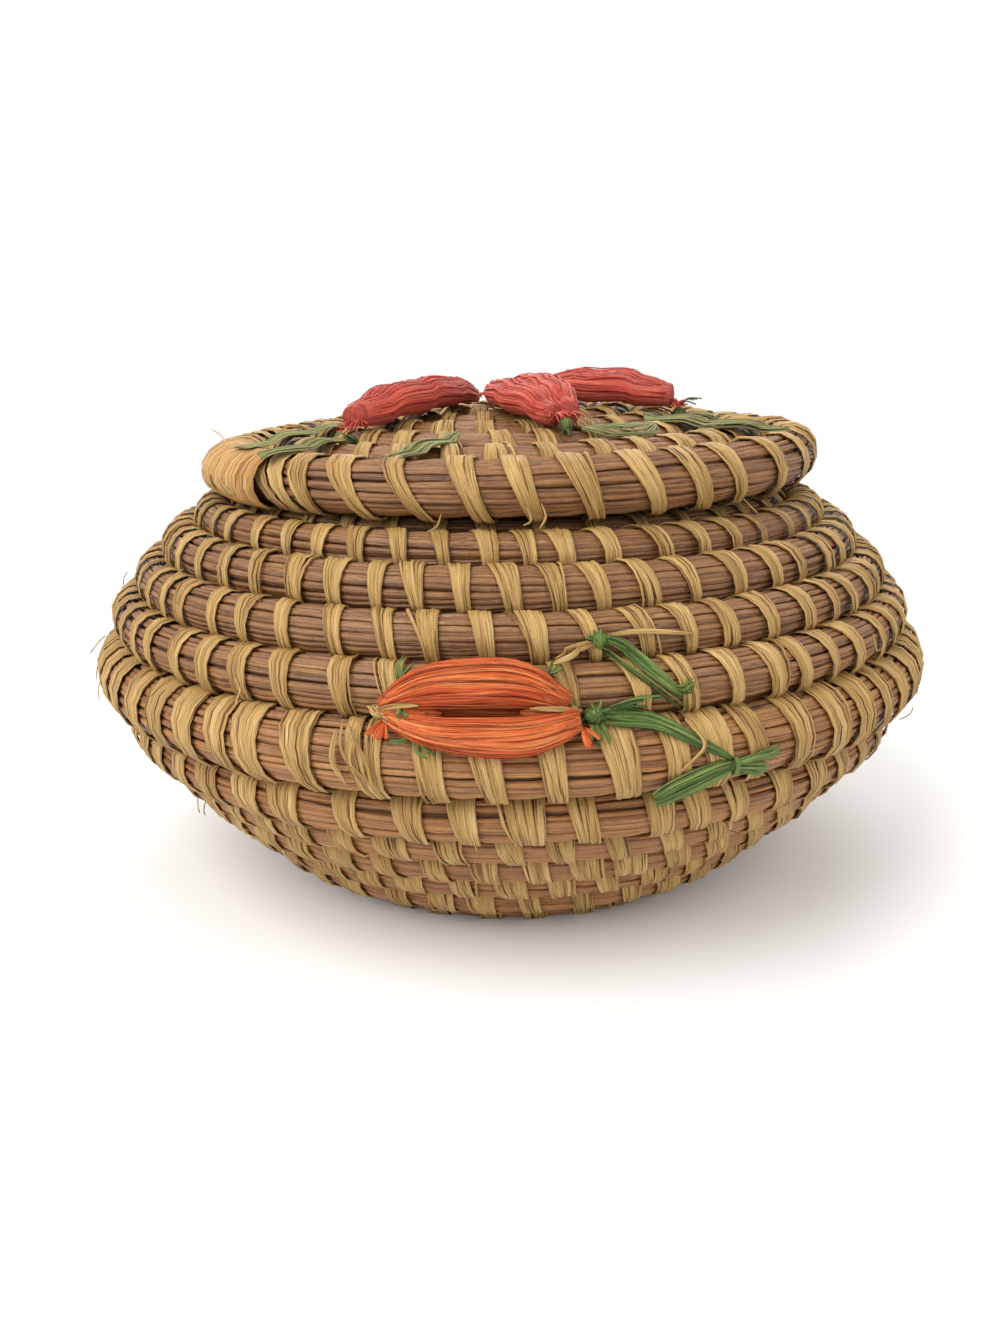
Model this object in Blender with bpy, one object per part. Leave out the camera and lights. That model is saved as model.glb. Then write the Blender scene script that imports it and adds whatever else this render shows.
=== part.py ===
"""A lidded basket, coiled from bundles of pine needles and stitched with raffia.

Every piece is its own solid. The coils are unbroken tubes that wind outwards and upwards, the way
such a basket is sewn. Metres, +Z up, the front of the basket faces -Y, and the floor is z = 0.
An azimuth is measured from the front and grows towards +X.
"""
import math

import bmesh
import bpy
from mathutils import Vector

MM = 0.001

# How the coils are wound
POINTS_PER_TURN = 24
CLIMB = 0.7                    # share of a turn in which a coil moves on to its next row
STEP_DRAW = 0.05               # how much thinner a coil is drawn half way through its step
BODY_STEP_AZIMUTH = 180.0      # where the body's coil steps up a row, degrees
LID_STEP_AZIMUTH = -105.0      # where the lid's coil steps out a row, degrees
ROW_GAP = 0.55 * MM            # clearance between two rows
START_SLACK = 1.35 * MM        # more clearance beside a coil's tapered start, where it turns sharply
END_GAP = 0.3 * MM             # clearance between two coils that meet end to end
TAIL_TIP = 0.8 * MM            # radius at which a tapered coil end is cut off

# Base disc
BASE_TURNS = 4
BASE_START = 7.0 * MM          # radius at which the base coil starts
BASE_COIL = 3.7 * MM           # radius of the base coil
START_KNOT = 2.9 * MM          # radius of the knot that the base coil starts around
FLAT_SHARE = 0.1               # share of its diameter that is pressed flat where it stands

# Body profile, as radius and height of the coils' centres
FOOT = (39.4 * MM, BASE_COIL * (1 - 2 * FLAT_SHARE))
FOOT_HANDLE = (45.5 * MM, 8.6 * MM)
BELLY_HANDLE = (69.4 * MM, 24.0 * MM)
BELLY = (70.6 * MM, 39.5 * MM)
SHOULDER_HANDLE = (71.5 * MM, 50.9 * MM)
SHOULDER = (53.9 * MM, 65.0 * MM)
NECK = (47.0 * MM, 65.6 * MM)
LOWER_SIZES = (1.0, 1.1, 0.93, 0.87, 0.8, 1.0, 1.42)   # each row beside the others, foot to belly
UPPER_SIZES = (1.42, 1.03, 0.97, 1.0, 0.82)            # the same, from the belly to the shoulder
NECK_COIL = 3.4 * MM           # radius of the neck coil

# Lid
LID_TURNS = 5
LID_START = 4.6 * MM
LID_COIL = 3.52 * MM
RIM_RADIUS = 51.1 * MM         # radius of the rim coil's centre
RIM_HEIGHT = 74.1 * MM
RIM_COIL = 4.2 * MM
RIM_SPACING = 8.25 * MM        # from the rim row to the crown's last row
LID_RISE = 5.6 * MM            # how much higher the lid's middle is than its rim
LID_TILT = 1.1                 # the lid sits higher on the right, degrees
SEAT = (40.3 * MM, 69.0 * MM)
SEAT_COIL = 3.3 * MM

# Raffia ornament
TRIM_GAP = 0.45 * MM           # clearance between ornament and the coils under it
FLATNESS = 0.6                 # thickness of a flat strand beside its width
PETAL = 2.6 * MM               # half the width of a petal
PETAL_TIP = 0.8 * MM
PETAL_LOFT = 1.08              # height of a lid flower's petal beside its width
STEM = 0.75 * MM
LEAF = 1.2 * MM
LEAF_TIP = 0.5 * MM

COLOURS = {
    "pine_needle": ((0.235, 0.125, 0.075), 0.62),
    "pine_needle_lid": ((0.25, 0.12, 0.06), 0.62),
    "raffia_orange": ((0.75, 0.13, 0.035), 0.55),
    "raffia_coral": ((0.72, 0.11, 0.085), 0.55),
    "raffia_green": ((0.075, 0.205, 0.06), 0.6),
    "raffia_natural": ((0.56, 0.37, 0.14), 0.55),
}


def clear_scene():
    for obj in list(bpy.data.objects):
        bpy.data.objects.remove(obj, do_unlink=True)


def make_collection(name):
    collection = bpy.data.collections.new(name)
    bpy.context.scene.collection.children.link(collection)
    return collection


def make_material(piece_name, colour_name):
    colour, roughness = COLOURS[colour_name]
    material = bpy.data.materials.new(piece_name)
    material.use_nodes = True
    shader = material.node_tree.nodes["Principled BSDF"]
    shader.inputs["Base Color"].default_value = (*colour, 1.0)
    shader.inputs["Roughness"].default_value = roughness
    shader.inputs["Metallic"].default_value = 0.0
    return material


def smoothstep(value):
    value = min(max(value, 0.0), 1.0)
    return value * value * (3.0 - 2.0 * value)


def mix(a, b, share):
    return tuple(p + (q - p) * share for p, q in zip(a, b))


def bezier(points, share):
    """Point on a Bezier curve of any number of control points."""
    while len(points) > 1:
        points = [mix(a, b, share) for a, b in zip(points, points[1:])]
    return points[0]


def rows_along(points, thicknesses):
    """Rows of touching coils along a curve: (radius, height, coil radius) from start to end."""
    samples = [bezier(points, i / 400) for i in range(401)]
    lengths = [0.0]
    for a, b in zip(samples, samples[1:]):
        lengths.append(lengths[-1] + math.dist(a, b))
    steps = [a + b for a, b in zip(thicknesses, thicknesses[1:])]
    unit = lengths[-1] / sum(steps)
    rows = []
    travelled = 0.0
    for index, thickness in enumerate(thicknesses):
        if index:
            travelled += steps[index - 1] * unit
        nearest = min(range(len(lengths)), key=lambda i: abs(lengths[i] - travelled))
        rows.append((*samples[nearest], thickness * unit - ROW_GAP / 2))
    return rows


def body_rows():
    """Base disc, wall and neck, from the middle of the base to the mouth."""
    base_step = (FOOT[0] - BASE_START) / BASE_TURNS
    base = [(BASE_START + base_step * i, FOOT[1], BASE_COIL) for i in range(BASE_TURNS)]
    lower = rows_along([FOOT, FOOT_HANDLE, BELLY_HANDLE, BELLY], LOWER_SIZES)
    upper = rows_along([BELLY, SHOULDER_HANDLE, SHOULDER], UPPER_SIZES)
    foot = (*FOOT, min(lower[0][2], BASE_COIL))
    belly = (*BELLY, min(lower[-1][2], upper[0][2]))
    return base + [foot] + lower[1:-1] + [belly] + upper[1:] + [(*NECK, NECK_COIL)]


def dome_height(radius):
    return RIM_HEIGHT + LID_RISE * (1.0 - (radius / RIM_RADIUS) ** 2)


def lid_rows():
    """The lid's crown from its middle outwards, and its thicker rim last."""
    last = RIM_RADIUS - RIM_SPACING
    step = (last - LID_START) / LID_TURNS
    crown = [LID_START + step * i for i in range(LID_TURNS + 1)]
    return [(r, dome_height(r), LID_COIL) for r in crown] + [(RIM_RADIUS, RIM_HEIGHT, RIM_COIL)]


BODY = body_rows()
LID = lid_rows()
FOOT_ROW = BASE_TURNS
BELLY_ROW = FOOT_ROW + len(LOWER_SIZES) - 1
SHOULDER_ROW = BELLY_ROW + len(UPPER_SIZES) - 1
NECK_ROW = SHOULDER_ROW + 1
RIM_ROW = LID_TURNS + 1


def coil_at(rows, turn):
    """(radius, height, coil radius) after so many turns. Whole turns lie opposite the step."""
    row = math.floor(turn)
    row_share = smoothstep((turn - row - 0.5) / CLIMB + 0.5)
    lower = rows[min(row, len(rows) - 1)]
    upper = rows[min(row + 1, len(rows) - 1)]
    radius, height, size = mix(lower, upper, row_share)
    return radius, height, size * (1.0 - STEP_DRAW * 4.0 * row_share * (1.0 - row_share))


def tail_at(rows, turn):
    """The tapered end of the last row, which rides on the coil that climbs to that row."""
    inner = coil_at(rows, turn - 1.0)
    before, last = rows[-2], rows[-1]
    spacing = math.dist(before[:2], last[:2])
    outwards = ((last[0] - before[0]) / spacing, (last[1] - before[1]) / spacing)
    reached = math.dist(before[:2], inner[:2])
    size = (spacing + last[2] - ROW_GAP - inner[2] - reached) / 2
    offset = inner[2] + size + ROW_GAP
    return inner[0] + outwards[0] * offset, inner[1] + outwards[1] * offset, size


def start_at(rows, turn):
    """The tapered start of the first row, inside the coil that climbs away from it."""
    outer = coil_at(rows, turn + 1.0)
    hole = rows[0][0] - rows[0][2]
    size = min((outer[0] - outer[2] - ROW_GAP - START_SLACK - hole) / 2, rows[0][2])
    return hole + size, rows[0][1], size


def along_coil(rows, turn):
    """(radius, height, coil radius) anywhere on a coil, its tapered start and end included."""
    if turn < 0.0:
        return start_at(rows, turn)
    if turn > len(rows) - 0.5 - CLIMB / 2:
        return tail_at(rows, turn)
    return coil_at(rows, turn)


def turns_at(rows, azimuth, step_azimuth):
    """Every turn of a coil that passes an azimuth in degrees: (radius, height, coil radius)."""
    phase = ((azimuth - step_azimuth) / 360 + 0.5) % 1.0
    found = [along_coil(rows, count + phase) for count in range(len(rows) + 1)]
    return [turn for turn in found if turn[2] > TAIL_TIP]


def place(radius, azimuth, height):
    return Vector((radius * math.sin(azimuth), -radius * math.cos(azimuth), height))


def wind(rows, first, last, step_azimuth, tilt=0.0):
    """Points and coil radii from one turn count to another.

    A coil that goes on from the one before it, or into the next, is cut square in the middle of a
    straight run, with a clearance between the two.
    """
    points, sizes = [], []
    starts_free = first < 0.0
    tail_starts = len(rows) - 0.5 - CLIMB / 2
    begin = round(first * POINTS_PER_TURN) - (0 if starts_free else 1)
    end = round(last * POINTS_PER_TURN)
    for count in range(begin, end + 1):
        turn = count / POINTS_PER_TURN
        radius, height, size = along_coil(rows, turn)
        if size < TAIL_TIP:
            continue
        azimuth = 2 * math.pi * (turn - 0.5) + math.radians(step_azimuth)
        point = place(radius, azimuth, height)
        point.z += point.x * math.tan(math.radians(tilt))
        points.append(point)
        sizes.append(size)
    if not starts_free:
        points[0] = halfway_cut(points[0], points[1])
    if last <= tail_starts:
        points[-1] = halfway_cut(points[-1], points[-2])
    return points, sizes


def halfway_cut(outer, inner):
    """Where a coil is cut between its end point and the one before, half a clearance short."""
    middle = (outer + inner) / 2
    return middle + (inner - middle).normalized() * END_GAP / 2


def least_gap(points, sizes):
    """Smallest clearance between two turns of one coil, over half a turn apart."""
    gap = math.inf
    apart = POINTS_PER_TURN // 2
    for i, (p, a) in enumerate(zip(points, sizes)):
        for q, b in zip(points[i + apart:], sizes[i + apart:]):
            gap = min(gap, (p - q).length - a - b)
    return gap


def oval(name, half_width, half_height, guides):
    """The cross-section of a flattened strand, as a guide curve."""
    curve = bpy.data.curves.new(name, "CURVE")
    curve.dimensions = "2D"
    spline = curve.splines.new("POLY")
    sides = 8
    spline.points.add(sides - 1)
    for i, point in enumerate(spline.points):
        angle = -2 * math.pi * i / sides
        point.co = (half_width * math.cos(angle), half_height * math.sin(angle), 0.0, 1.0)
    spline.use_cyclic_u = True
    guide = bpy.data.objects.new(name, curve)
    guide.display_type = "WIRE"
    guide.hide_render = True
    guides.objects.link(guide)
    return guide


def tube(name, colour, points, sizes, collection, section=None):
    """A tube through the points, with a radius at each: round, or with a guide's cross-section."""
    curve = bpy.data.curves.new(name, "CURVE")
    curve.dimensions = "3D"
    curve.twist_mode = "Z_UP"
    if section:
        curve.bevel_mode = "OBJECT"
        curve.bevel_object = section
    else:
        curve.bevel_depth = max(sizes)
        curve.bevel_resolution = 1
    curve.render_resolution_u = 0
    curve.use_fill_caps = True
    spline = curve.splines.new("POLY")
    spline.points.add(len(points) - 1)
    for knot, point, size in zip(spline.points, points, sizes):
        knot.co = (*point, 1.0)
        knot.radius = size / (MM if section else max(sizes))
    spline.use_smooth = True
    curve.materials.append(make_material(name, colour))
    obj = bpy.data.objects.new(name, curve)
    collection.objects.link(obj)
    return obj


def coil(name, colour, rows, first, last, step_azimuth, collection, tilt=0.0):
    points, sizes = wind(rows, first, last, step_azimuth, tilt)
    if last - first > 1.0:
        print(f"{name}: least gap between its turns {least_gap(points, sizes) / MM:.2f} mm")
    return tube(name, colour, points, sizes, collection)


def to_mesh(obj):
    """The same piece as a mesh with its caps welded."""
    depsgraph = bpy.context.evaluated_depsgraph_get()
    mesh = bpy.data.meshes.new_from_object(obj.evaluated_get(depsgraph))
    bm = bmesh.new()
    bm.from_mesh(mesh)
    bmesh.ops.remove_doubles(bm, verts=bm.verts, dist=0.01 * MM)
    bm.to_mesh(mesh)
    bm.free()
    new = bpy.data.objects.new(obj.name + "_mesh", mesh)
    new.matrix_world = obj.matrix_world
    obj.users_collection[0].objects.link(new)
    name, curve = obj.name, obj.data
    bpy.data.objects.remove(obj, do_unlink=True)
    bpy.data.curves.remove(curve)
    new.name = name
    return new


def make_floor_cutter(cutters):
    """Cuts off what would reach below the floor."""
    bm = bmesh.new()
    bmesh.ops.create_cube(bm, size=1.0)
    mesh = bpy.data.meshes.new("floor_cutter")
    bm.to_mesh(mesh)
    bm.free()
    cutter = bpy.data.objects.new("floor_cutter", mesh)
    cutter.scale = (0.2, 0.2, 0.02)
    cutter.location = (0.0, 0.0, -0.01)
    cutter.display_type = "WIRE"
    cutter.hide_render = True
    cutters.objects.link(cutter)
    return cutter


def press_flat(obj, cutter):
    cut = obj.modifiers.new("flat_foot", "BOOLEAN")
    cut.operation = "DIFFERENCE"
    cut.solver = "EXACT"
    cut.object = cutter


def make_body(parts, cutters):
    wall = "pine_needle"
    floor = make_floor_cutter(cutters)
    middle = (0.0, 0.0, START_KNOT * (1 - 3 * FLAT_SHARE))
    start = knot("start_knot", "raffia_natural", middle, START_KNOT, parts)
    press_flat(start, floor)
    base = coil("base_coil", wall, BODY, -1.0, FOOT_ROW + 0.5, BODY_STEP_AZIMUTH, parts)
    press_flat(to_mesh(base), floor)
    sections = (("lower_wall_coil", FOOT_ROW, BELLY_ROW - 1), ("belly_coil", BELLY_ROW - 1, BELLY_ROW),
                ("upper_wall_coil", BELLY_ROW, SHOULDER_ROW), ("neck_coil", SHOULDER_ROW, NECK_ROW + 0.5))
    for name, first, last in sections:
        coil(name, wall, BODY, first + 0.5, last + 0.5, BODY_STEP_AZIMUTH, parts)


def make_lid(parts):
    straw = "pine_needle_lid"
    coil("lid_crown_coil", straw, LID, -1.0, LID_TURNS + 0.5, LID_STEP_AZIMUTH, parts, LID_TILT)
    coil("lid_rim_coil", straw, LID, LID_TURNS + 0.5, RIM_ROW + 1.0, LID_STEP_AZIMUTH, parts, LID_TILT)
    seat = [(*SEAT, SEAT_COIL)] * 4
    coil("lid_seat_coil", straw, seat, 1.0, 2.0, LID_STEP_AZIMUTH, parts, LID_TILT)


def stand_off(turns, position, size, flatness, across_wall):
    """How far out a flattened strand lies so that it clears the coils under it.

    Across the wall the position is a height and the answer a radius, and on the lid the reverse.
    """
    reach = []
    for radius, height, coil_size in turns:
        row, out = (height, radius) if across_wall else (radius, height)
        for step in range(13):
            angle = math.pi * step / 12
            edge = position + size * math.cos(angle) - row
            room = (coil_size + TRIM_GAP) ** 2 - edge ** 2
            if room > 0:
                reach.append(out + math.sqrt(room) + flatness * size * math.sin(angle))
    return max(reach)


def on_wall(azimuth, height, size, flatness=FLATNESS):
    """A strand's centre on the body's wall, at an azimuth in degrees and a height in mm."""
    turns = turns_at(BODY, azimuth, BODY_STEP_AZIMUTH)[FOOT_ROW:]
    radius = stand_off(turns, height * MM, size, flatness, True)
    return place(radius, math.radians(azimuth), height * MM)


def on_lid(x, y, size, flatness=FLATNESS):
    """A strand's centre on top of the lid, at a place in mm."""
    turns = turns_at(LID, math.degrees(math.atan2(x, -y)), LID_STEP_AZIMUTH)
    radius = max(math.hypot(x, y) * MM, turns[0][0])
    height = stand_off(turns, radius, size, flatness, False)
    return Vector((x * MM, y * MM, height + x * MM * math.tan(math.radians(LID_TILT))))


def lofty_on_lid(x, y, size):
    """The centre of a plump petal on top of the lid."""
    return on_lid(x, y, size, PETAL_LOFT)


def route(places, steps):
    """Evenly spread places on one smooth curve through the given ones."""
    ends = [tuple(2 * p - q for p, q in zip(places[0], places[1]))]
    ends.append(tuple(2 * p - q for p, q in zip(places[-1], places[-2])))
    knots = [ends[0], *places, ends[1]]
    out = []
    for i in range(steps + 1):
        at = i / steps * (len(places) - 1)
        k = min(int(at), len(places) - 2)
        u = at - k
        a, b, c, d = knots[k:k + 4]
        out.append(tuple(0.5 * (2 * q + (r - p) * u + (2 * p - 5 * q + 4 * r - s) * u * u
                                + (3 * q - p - 3 * r + s) * u ** 3) for p, q, r, s in zip(a, b, c, d)))
    return out


def strand(name, colour, surface, section, places, width, tip, collection, steps, swell=0.5):
    """A raffia strand that lies on the wall or the lid and tapers to both ends."""
    points, sizes = [], []
    for i, spot in enumerate(route(places, steps)):
        size = tip + (width - tip) * math.sin(math.pi * i / steps) ** swell
        points.append(surface(*spot, size))
        sizes.append(size)
    return tube(name, colour, points, sizes, collection, section)


def knot(name, colour, centre, size, collection):
    bm = bmesh.new()
    bmesh.ops.create_uvsphere(bm, u_segments=10, v_segments=7, radius=size)
    mesh = bpy.data.meshes.new(name)
    bm.to_mesh(mesh)
    bm.free()
    mesh.shade_smooth()
    mesh.materials.append(make_material(name, colour))
    obj = bpy.data.objects.new(name, mesh)
    obj.location = centre
    collection.objects.link(obj)
    return obj


def make_wall_flower(parts, section):
    """The orange flower on the wall, its ties, and the green stems beside it."""
    petals = (("flower_petal_upper", [(-13.0, 48.9), (-9.3, 50.9), (-4.8, 51.8), (0.2, 51.5), (4.8, 49.6)]),
              ("flower_petal_lower", [(-12.8, 45.9), (-8.6, 44.6), (-4.2, 44.3), (1.0, 44.5), (5.9, 45.5)]))
    for name, places in petals:
        strand(name, "raffia_orange", on_wall, section, places, PETAL, PETAL_TIP, parts, 14, 0.6)
    knots = (("flower_tie_left", "raffia_natural", -14.9, 47.3, 1.2),
             ("flower_tie_right", "raffia_natural", 6.1, 47.7, 0.7),
             ("flower_knot", "raffia_green", 8.5, 46.8, 1.4), ("sprig_knot", "raffia_green", 9.6, 55.9, 1.2))
    for name, colour, azimuth, height, size in knots:
        knot(name, colour, on_wall(azimuth, height, size * MM, 1.0), size * MM, parts)
    stems = (("flower_knot_tail", [(9.0, 44.4), (9.2, 43.2), (9.4, 42.0)], 0.7 * MM),
             ("sprig_leaf", [(11.5, 54.6), (14.6, 51.8), (18.0, 48.4)], LEAF),
             ("stem_short", [(10.9, 47.9), (13.2, 48.4), (15.6, 48.1)], STEM),
             ("stem_long", [(10.9, 45.9), (15.0, 45.4), (19.0, 42.9), (21.9, 40.7)], STEM),
             ("leaf_lower", [(15.2, 34.6), (19.0, 36.6), (24.0, 38.0), (28.8, 39.0)], LEAF))
    for name, places, width in stems:
        strand(name, "raffia_green", on_wall, section, places, width, LEAF_TIP, parts, 12)


def make_lid_flowers(parts, section):
    """Three coral flowers that meet near the lid's middle, each of two petals and a knot."""
    flowers = (("left", (-7.5, -4.0), (-24.3, -26.0), 2.9), ("middle", (-1.5, -8.8), (7.8, -33.2), 2.9),
               ("right", (4.6, -4.6), (28.3, -11.0), 2.7))
    for side, inner, outer, spread in flowers:
        length = math.dist(inner, outer)
        along = ((outer[0] - inner[0]) / length, (outer[1] - inner[1]) / length)
        for edge, sign in (("back", 1.0), ("front", -1.0)):
            across = (-along[1] * sign, along[0] * sign)
            places = []
            for share, offset in ((0.0, 0.45), (0.3, 0.95), (0.6, 1.0), (1.0, 0.45)):
                places.append((inner[0] + along[0] * length * share + across[0] * spread * offset,
                               inner[1] + along[1] * length * share + across[1] * spread * offset))
            name = f"lid_flower_{side}_{edge}"
            strand(name, "raffia_coral", lofty_on_lid, section, places, PETAL, PETAL_TIP, parts, 12, 0.6)
        end = (outer[0] + along[0] * 3.0, outer[1] + along[1] * 3.0)
        size = 1.5 * MM
        knot(f"lid_knot_{side}", "raffia_green", on_lid(*end, size, 1.0), size, parts)


def make_lid_leaves(parts, section):
    leaves = (("lid_leaf_upper_left", [(-30.2, -23.0), (-37.0, -24.8), (-44.5, -26.8)], LEAF),
              ("lid_leaf_lower_left", [(-30.0, -31.8), (-34.0, -34.0), (-38.5, -36.6)], LEAF),
              ("lid_leaf_front", [(-17.6, -47.8), (-13.0, -43.0), (-8.6, -37.8)], LEAF),
              ("lid_leaf_right", [(24.6, -23.6), (33.0, -22.0), (42.0, -19.0), (49.5, -15.6)], LEAF),
              ("lid_sprig", [(14.6, -33.4), (18.6, -35.2), (22.6, -31.6)], STEM))
    for name, places, width in leaves:
        strand(name, "raffia_green", on_lid, section, places, width, LEAF_TIP, parts, 10)


def main():
    clear_scene()
    parts = make_collection("pine_needle_basket")
    cutters = make_collection("cutters")
    make_body(parts, cutters)
    make_lid(parts)
    upright = oval("strand_section_upright", FLATNESS * MM, MM, cutters)
    lying = oval("strand_section_lying", MM, FLATNESS * MM, cutters)
    plump = oval("strand_section_plump", MM, PETAL_LOFT * MM, cutters)
    make_wall_flower(parts, upright)
    make_lid_flowers(parts, plump)
    make_lid_leaves(parts, lying)


main()
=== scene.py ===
"""Looks of a lidded basket, coiled from bundles of pine needles and stitched with raffia.

Each coil of the solid model is dressed with single needles round a core painted dark as shade, and with
raffia stitches that wrap it. The ornament is made of folded and gathered raffia strips. Metres, +Z up,
the front faces -Y. An azimuth is measured from the front and grows towards +X.
"""
import math
import random
from collections import namedtuple

import bmesh
import bpy
import numpy as np
from mathutils import Matrix, Vector, noise


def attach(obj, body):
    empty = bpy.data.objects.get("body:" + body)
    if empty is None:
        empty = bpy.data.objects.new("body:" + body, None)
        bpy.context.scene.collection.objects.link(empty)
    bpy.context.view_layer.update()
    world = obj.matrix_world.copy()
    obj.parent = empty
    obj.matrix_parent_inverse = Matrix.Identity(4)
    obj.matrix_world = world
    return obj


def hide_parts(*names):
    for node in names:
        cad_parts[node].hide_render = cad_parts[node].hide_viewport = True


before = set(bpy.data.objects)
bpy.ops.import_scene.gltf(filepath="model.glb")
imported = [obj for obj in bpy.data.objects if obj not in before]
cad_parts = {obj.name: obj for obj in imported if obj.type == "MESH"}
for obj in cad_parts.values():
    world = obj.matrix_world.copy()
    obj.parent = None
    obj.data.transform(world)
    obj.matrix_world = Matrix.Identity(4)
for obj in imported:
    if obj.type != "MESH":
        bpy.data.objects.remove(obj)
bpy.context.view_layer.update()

MM = 0.001

# How the coils are wound, as in the solid model
CLIMB = 0.7                    # share of a turn in which a coil moves on to its next row
STEP_DRAW = 0.05               # how much thinner a coil is where it climbs
BODY_STEP_AZIMUTH = 180.0      # where the body's coil steps up a row, degrees
LID_STEP_AZIMUTH = -105.0
ROW_GAP = 0.55 * MM
START_SLACK = 1.35 * MM        # room beside a coil's tapered start
TAIL_TIP = 0.8 * MM            # a coil ends where it would be thinner
COIL_START = -0.98             # in turns, where a coil's tapered start begins
BASE_TURNS = 4
BASE_START = 7.0 * MM
BASE_COIL = 3.7 * MM
FLAT_SHARE = 0.1
FOOT = (39.4 * MM, BASE_COIL * (1 - 2 * FLAT_SHARE))
FOOT_HANDLE = (45.5 * MM, 8.6 * MM)
BELLY_HANDLE = (69.4 * MM, 24.0 * MM)
BELLY = (70.6 * MM, 39.5 * MM)
SHOULDER_HANDLE = (71.5 * MM, 50.9 * MM)
SHOULDER = (53.9 * MM, 65.0 * MM)
NECK = (47.0 * MM, 65.6 * MM)
LOWER_SIZES = (1.0, 1.1, 0.93, 0.87, 0.8, 1.0, 1.42)
UPPER_SIZES = (1.42, 1.03, 0.97, 1.0, 0.82)
NECK_COIL = 3.4 * MM
LID_TURNS = 5
LID_START = 4.6 * MM
LID_COIL = 3.52 * MM
RIM_RADIUS = 51.1 * MM
RIM_HEIGHT = 74.1 * MM
RIM_COIL = 4.2 * MM
RIM_SPACING = 8.25 * MM
LID_RISE = 5.6 * MM
LID_TILT = 1.1                 # degrees
SEAT = (40.3 * MM, 69.0 * MM)
SEAT_COIL = 3.3 * MM

WALL_MM_PER_DEGREE = 1.3       # along the wall, near the flower

# Needles
NEEDLE_HALF_WIDTH = 0.51 * MM
NEEDLE_PITCH = 0.7 * MM        # from one needle to the next round a coil
NEEDLE_SIDES = 5
NEEDLE_STANDS = 0.2 * MM       # how far the needles stand out of the solid coil
NEEDLE_WANDER = 0.16           # how far a needle strays sideways, radians
NEEDLE_DIVE = 0.12 * MM        # how far a needle rises and sinks in its bundle
PINCH = 0.3 * MM               # how far a stitch presses the needles in
NEEDLES_INSIDE = 0.3 * MM      # how far inside the solid coil the needles' middles lie
CORE_DEPTH = 0.4 * MM          # how far the inside of a bundle, painted dark as shade, lies under the solid coil
GUIDE_STEP = 3.2 * MM          # between points of a coil's middle line
PINCH_REACH = 1.6 * MM         # how far from a stitch the needles are pressed in
TRAVEL_A_TURN = 200.0          # mm, so that the turns of a coil don't look alike
CREVICE_STEP = 4.5 * MM        # between points of the line that runs in a crevice
CREVICE_SIZE = 0.45 * MM

# Stitches
STITCH_SPACING = 7.3 * MM      # along a coil, where the photograph doesn't show it
STRIP_HALF_WIDTH = 0.86 * MM
STRIP_THICKNESS = 0.26 * MM
FLARE = 0.3                    # how much a stitch widens to its upper end, and narrows to its lower
STRIP_RISE = 0.1 * MM          # how far a strip lies above the needles
STRAY_SHARE = 0.16             # how often a stitch has a thin loose strand beside it
AROUND = 13                    # faces round a coil for one strip
ACROSS = 9                     # points over the outer face of a strip
STRIPS_A_PIECE = 720           # keeps each piece under 200,000 triangles

# Ornament
PETAL_STEPS = 36               # rings along a petal
PETAL_AROUND = 84              # points round a petal
STRIP_POINTS = 7               # over the top of a strip
WALL_LOFT = 2.7                # how far a petal stands out of the wall, mm
LID_PETAL = 3.1                # half a lid petal's width, mm
LASHING_LOOPS = 30
LASHING_START = -87.0          # azimuth of the first loop
LASHING_STEP = 1.38            # degrees to the next
LINING_STRIPS = 13             # crossed inside the middle of the base
LINING_REACH = 13.5 * MM

CAMERA_AT = (-1.8 * MM, -220.4 * MM, 95.9 * MM)
CAMERA_DOWN = 15.98            # how far the camera looks down, degrees
CAMERA_ROLL = -0.5

UP = Vector((0.0, 0.0, 1.0))


def on_floor(angle):
    """A direction on the floor, by its angle from +X."""
    return Vector((math.cos(angle), math.sin(angle), 0.0))


def smoothstep(value):
    value = min(max(value, 0.0), 1.0)
    return value * value * (3.0 - 2.0 * value)


def mix(a, b, share):
    return tuple(p + (q - p) * share for p, q in zip(a, b))


def bezier(points, share):
    """Point on a Bezier curve of any number of control points."""
    while len(points) > 1:
        points = [mix(a, b, share) for a, b in zip(points, points[1:])]
    return points[0]


def rows_along(points, thicknesses):
    """Rows of touching coils along a curve: (radius, height, coil radius) from start to end."""
    samples = [bezier(points, i / 400) for i in range(401)]
    lengths = [0.0]
    for a, b in zip(samples, samples[1:]):
        lengths.append(lengths[-1] + math.dist(a, b))
    steps = [a + b for a, b in zip(thicknesses, thicknesses[1:])]
    unit = lengths[-1] / sum(steps)
    rows = []
    travelled = 0.0
    for index, thickness in enumerate(thicknesses):
        if index:
            travelled += steps[index - 1] * unit
        nearest = min(range(len(lengths)), key=lambda i: abs(lengths[i] - travelled))
        rows.append((*samples[nearest], thickness * unit - ROW_GAP / 2))
    return rows


def body_rows():
    """Base disc, wall and neck, from the middle of the base to the mouth."""
    base_step = (FOOT[0] - BASE_START) / BASE_TURNS
    base = [(BASE_START + base_step * i, FOOT[1], BASE_COIL) for i in range(BASE_TURNS)]
    lower = rows_along([FOOT, FOOT_HANDLE, BELLY_HANDLE, BELLY], LOWER_SIZES)
    upper = rows_along([BELLY, SHOULDER_HANDLE, SHOULDER], UPPER_SIZES)
    foot = (*FOOT, min(lower[0][2], BASE_COIL))
    belly = (*BELLY, min(lower[-1][2], upper[0][2]))
    return base + [foot] + lower[1:-1] + [belly] + upper[1:] + [(*NECK, NECK_COIL)]


def dome_height(radius):
    return RIM_HEIGHT + LID_RISE * (1.0 - (radius / RIM_RADIUS) ** 2)


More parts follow.
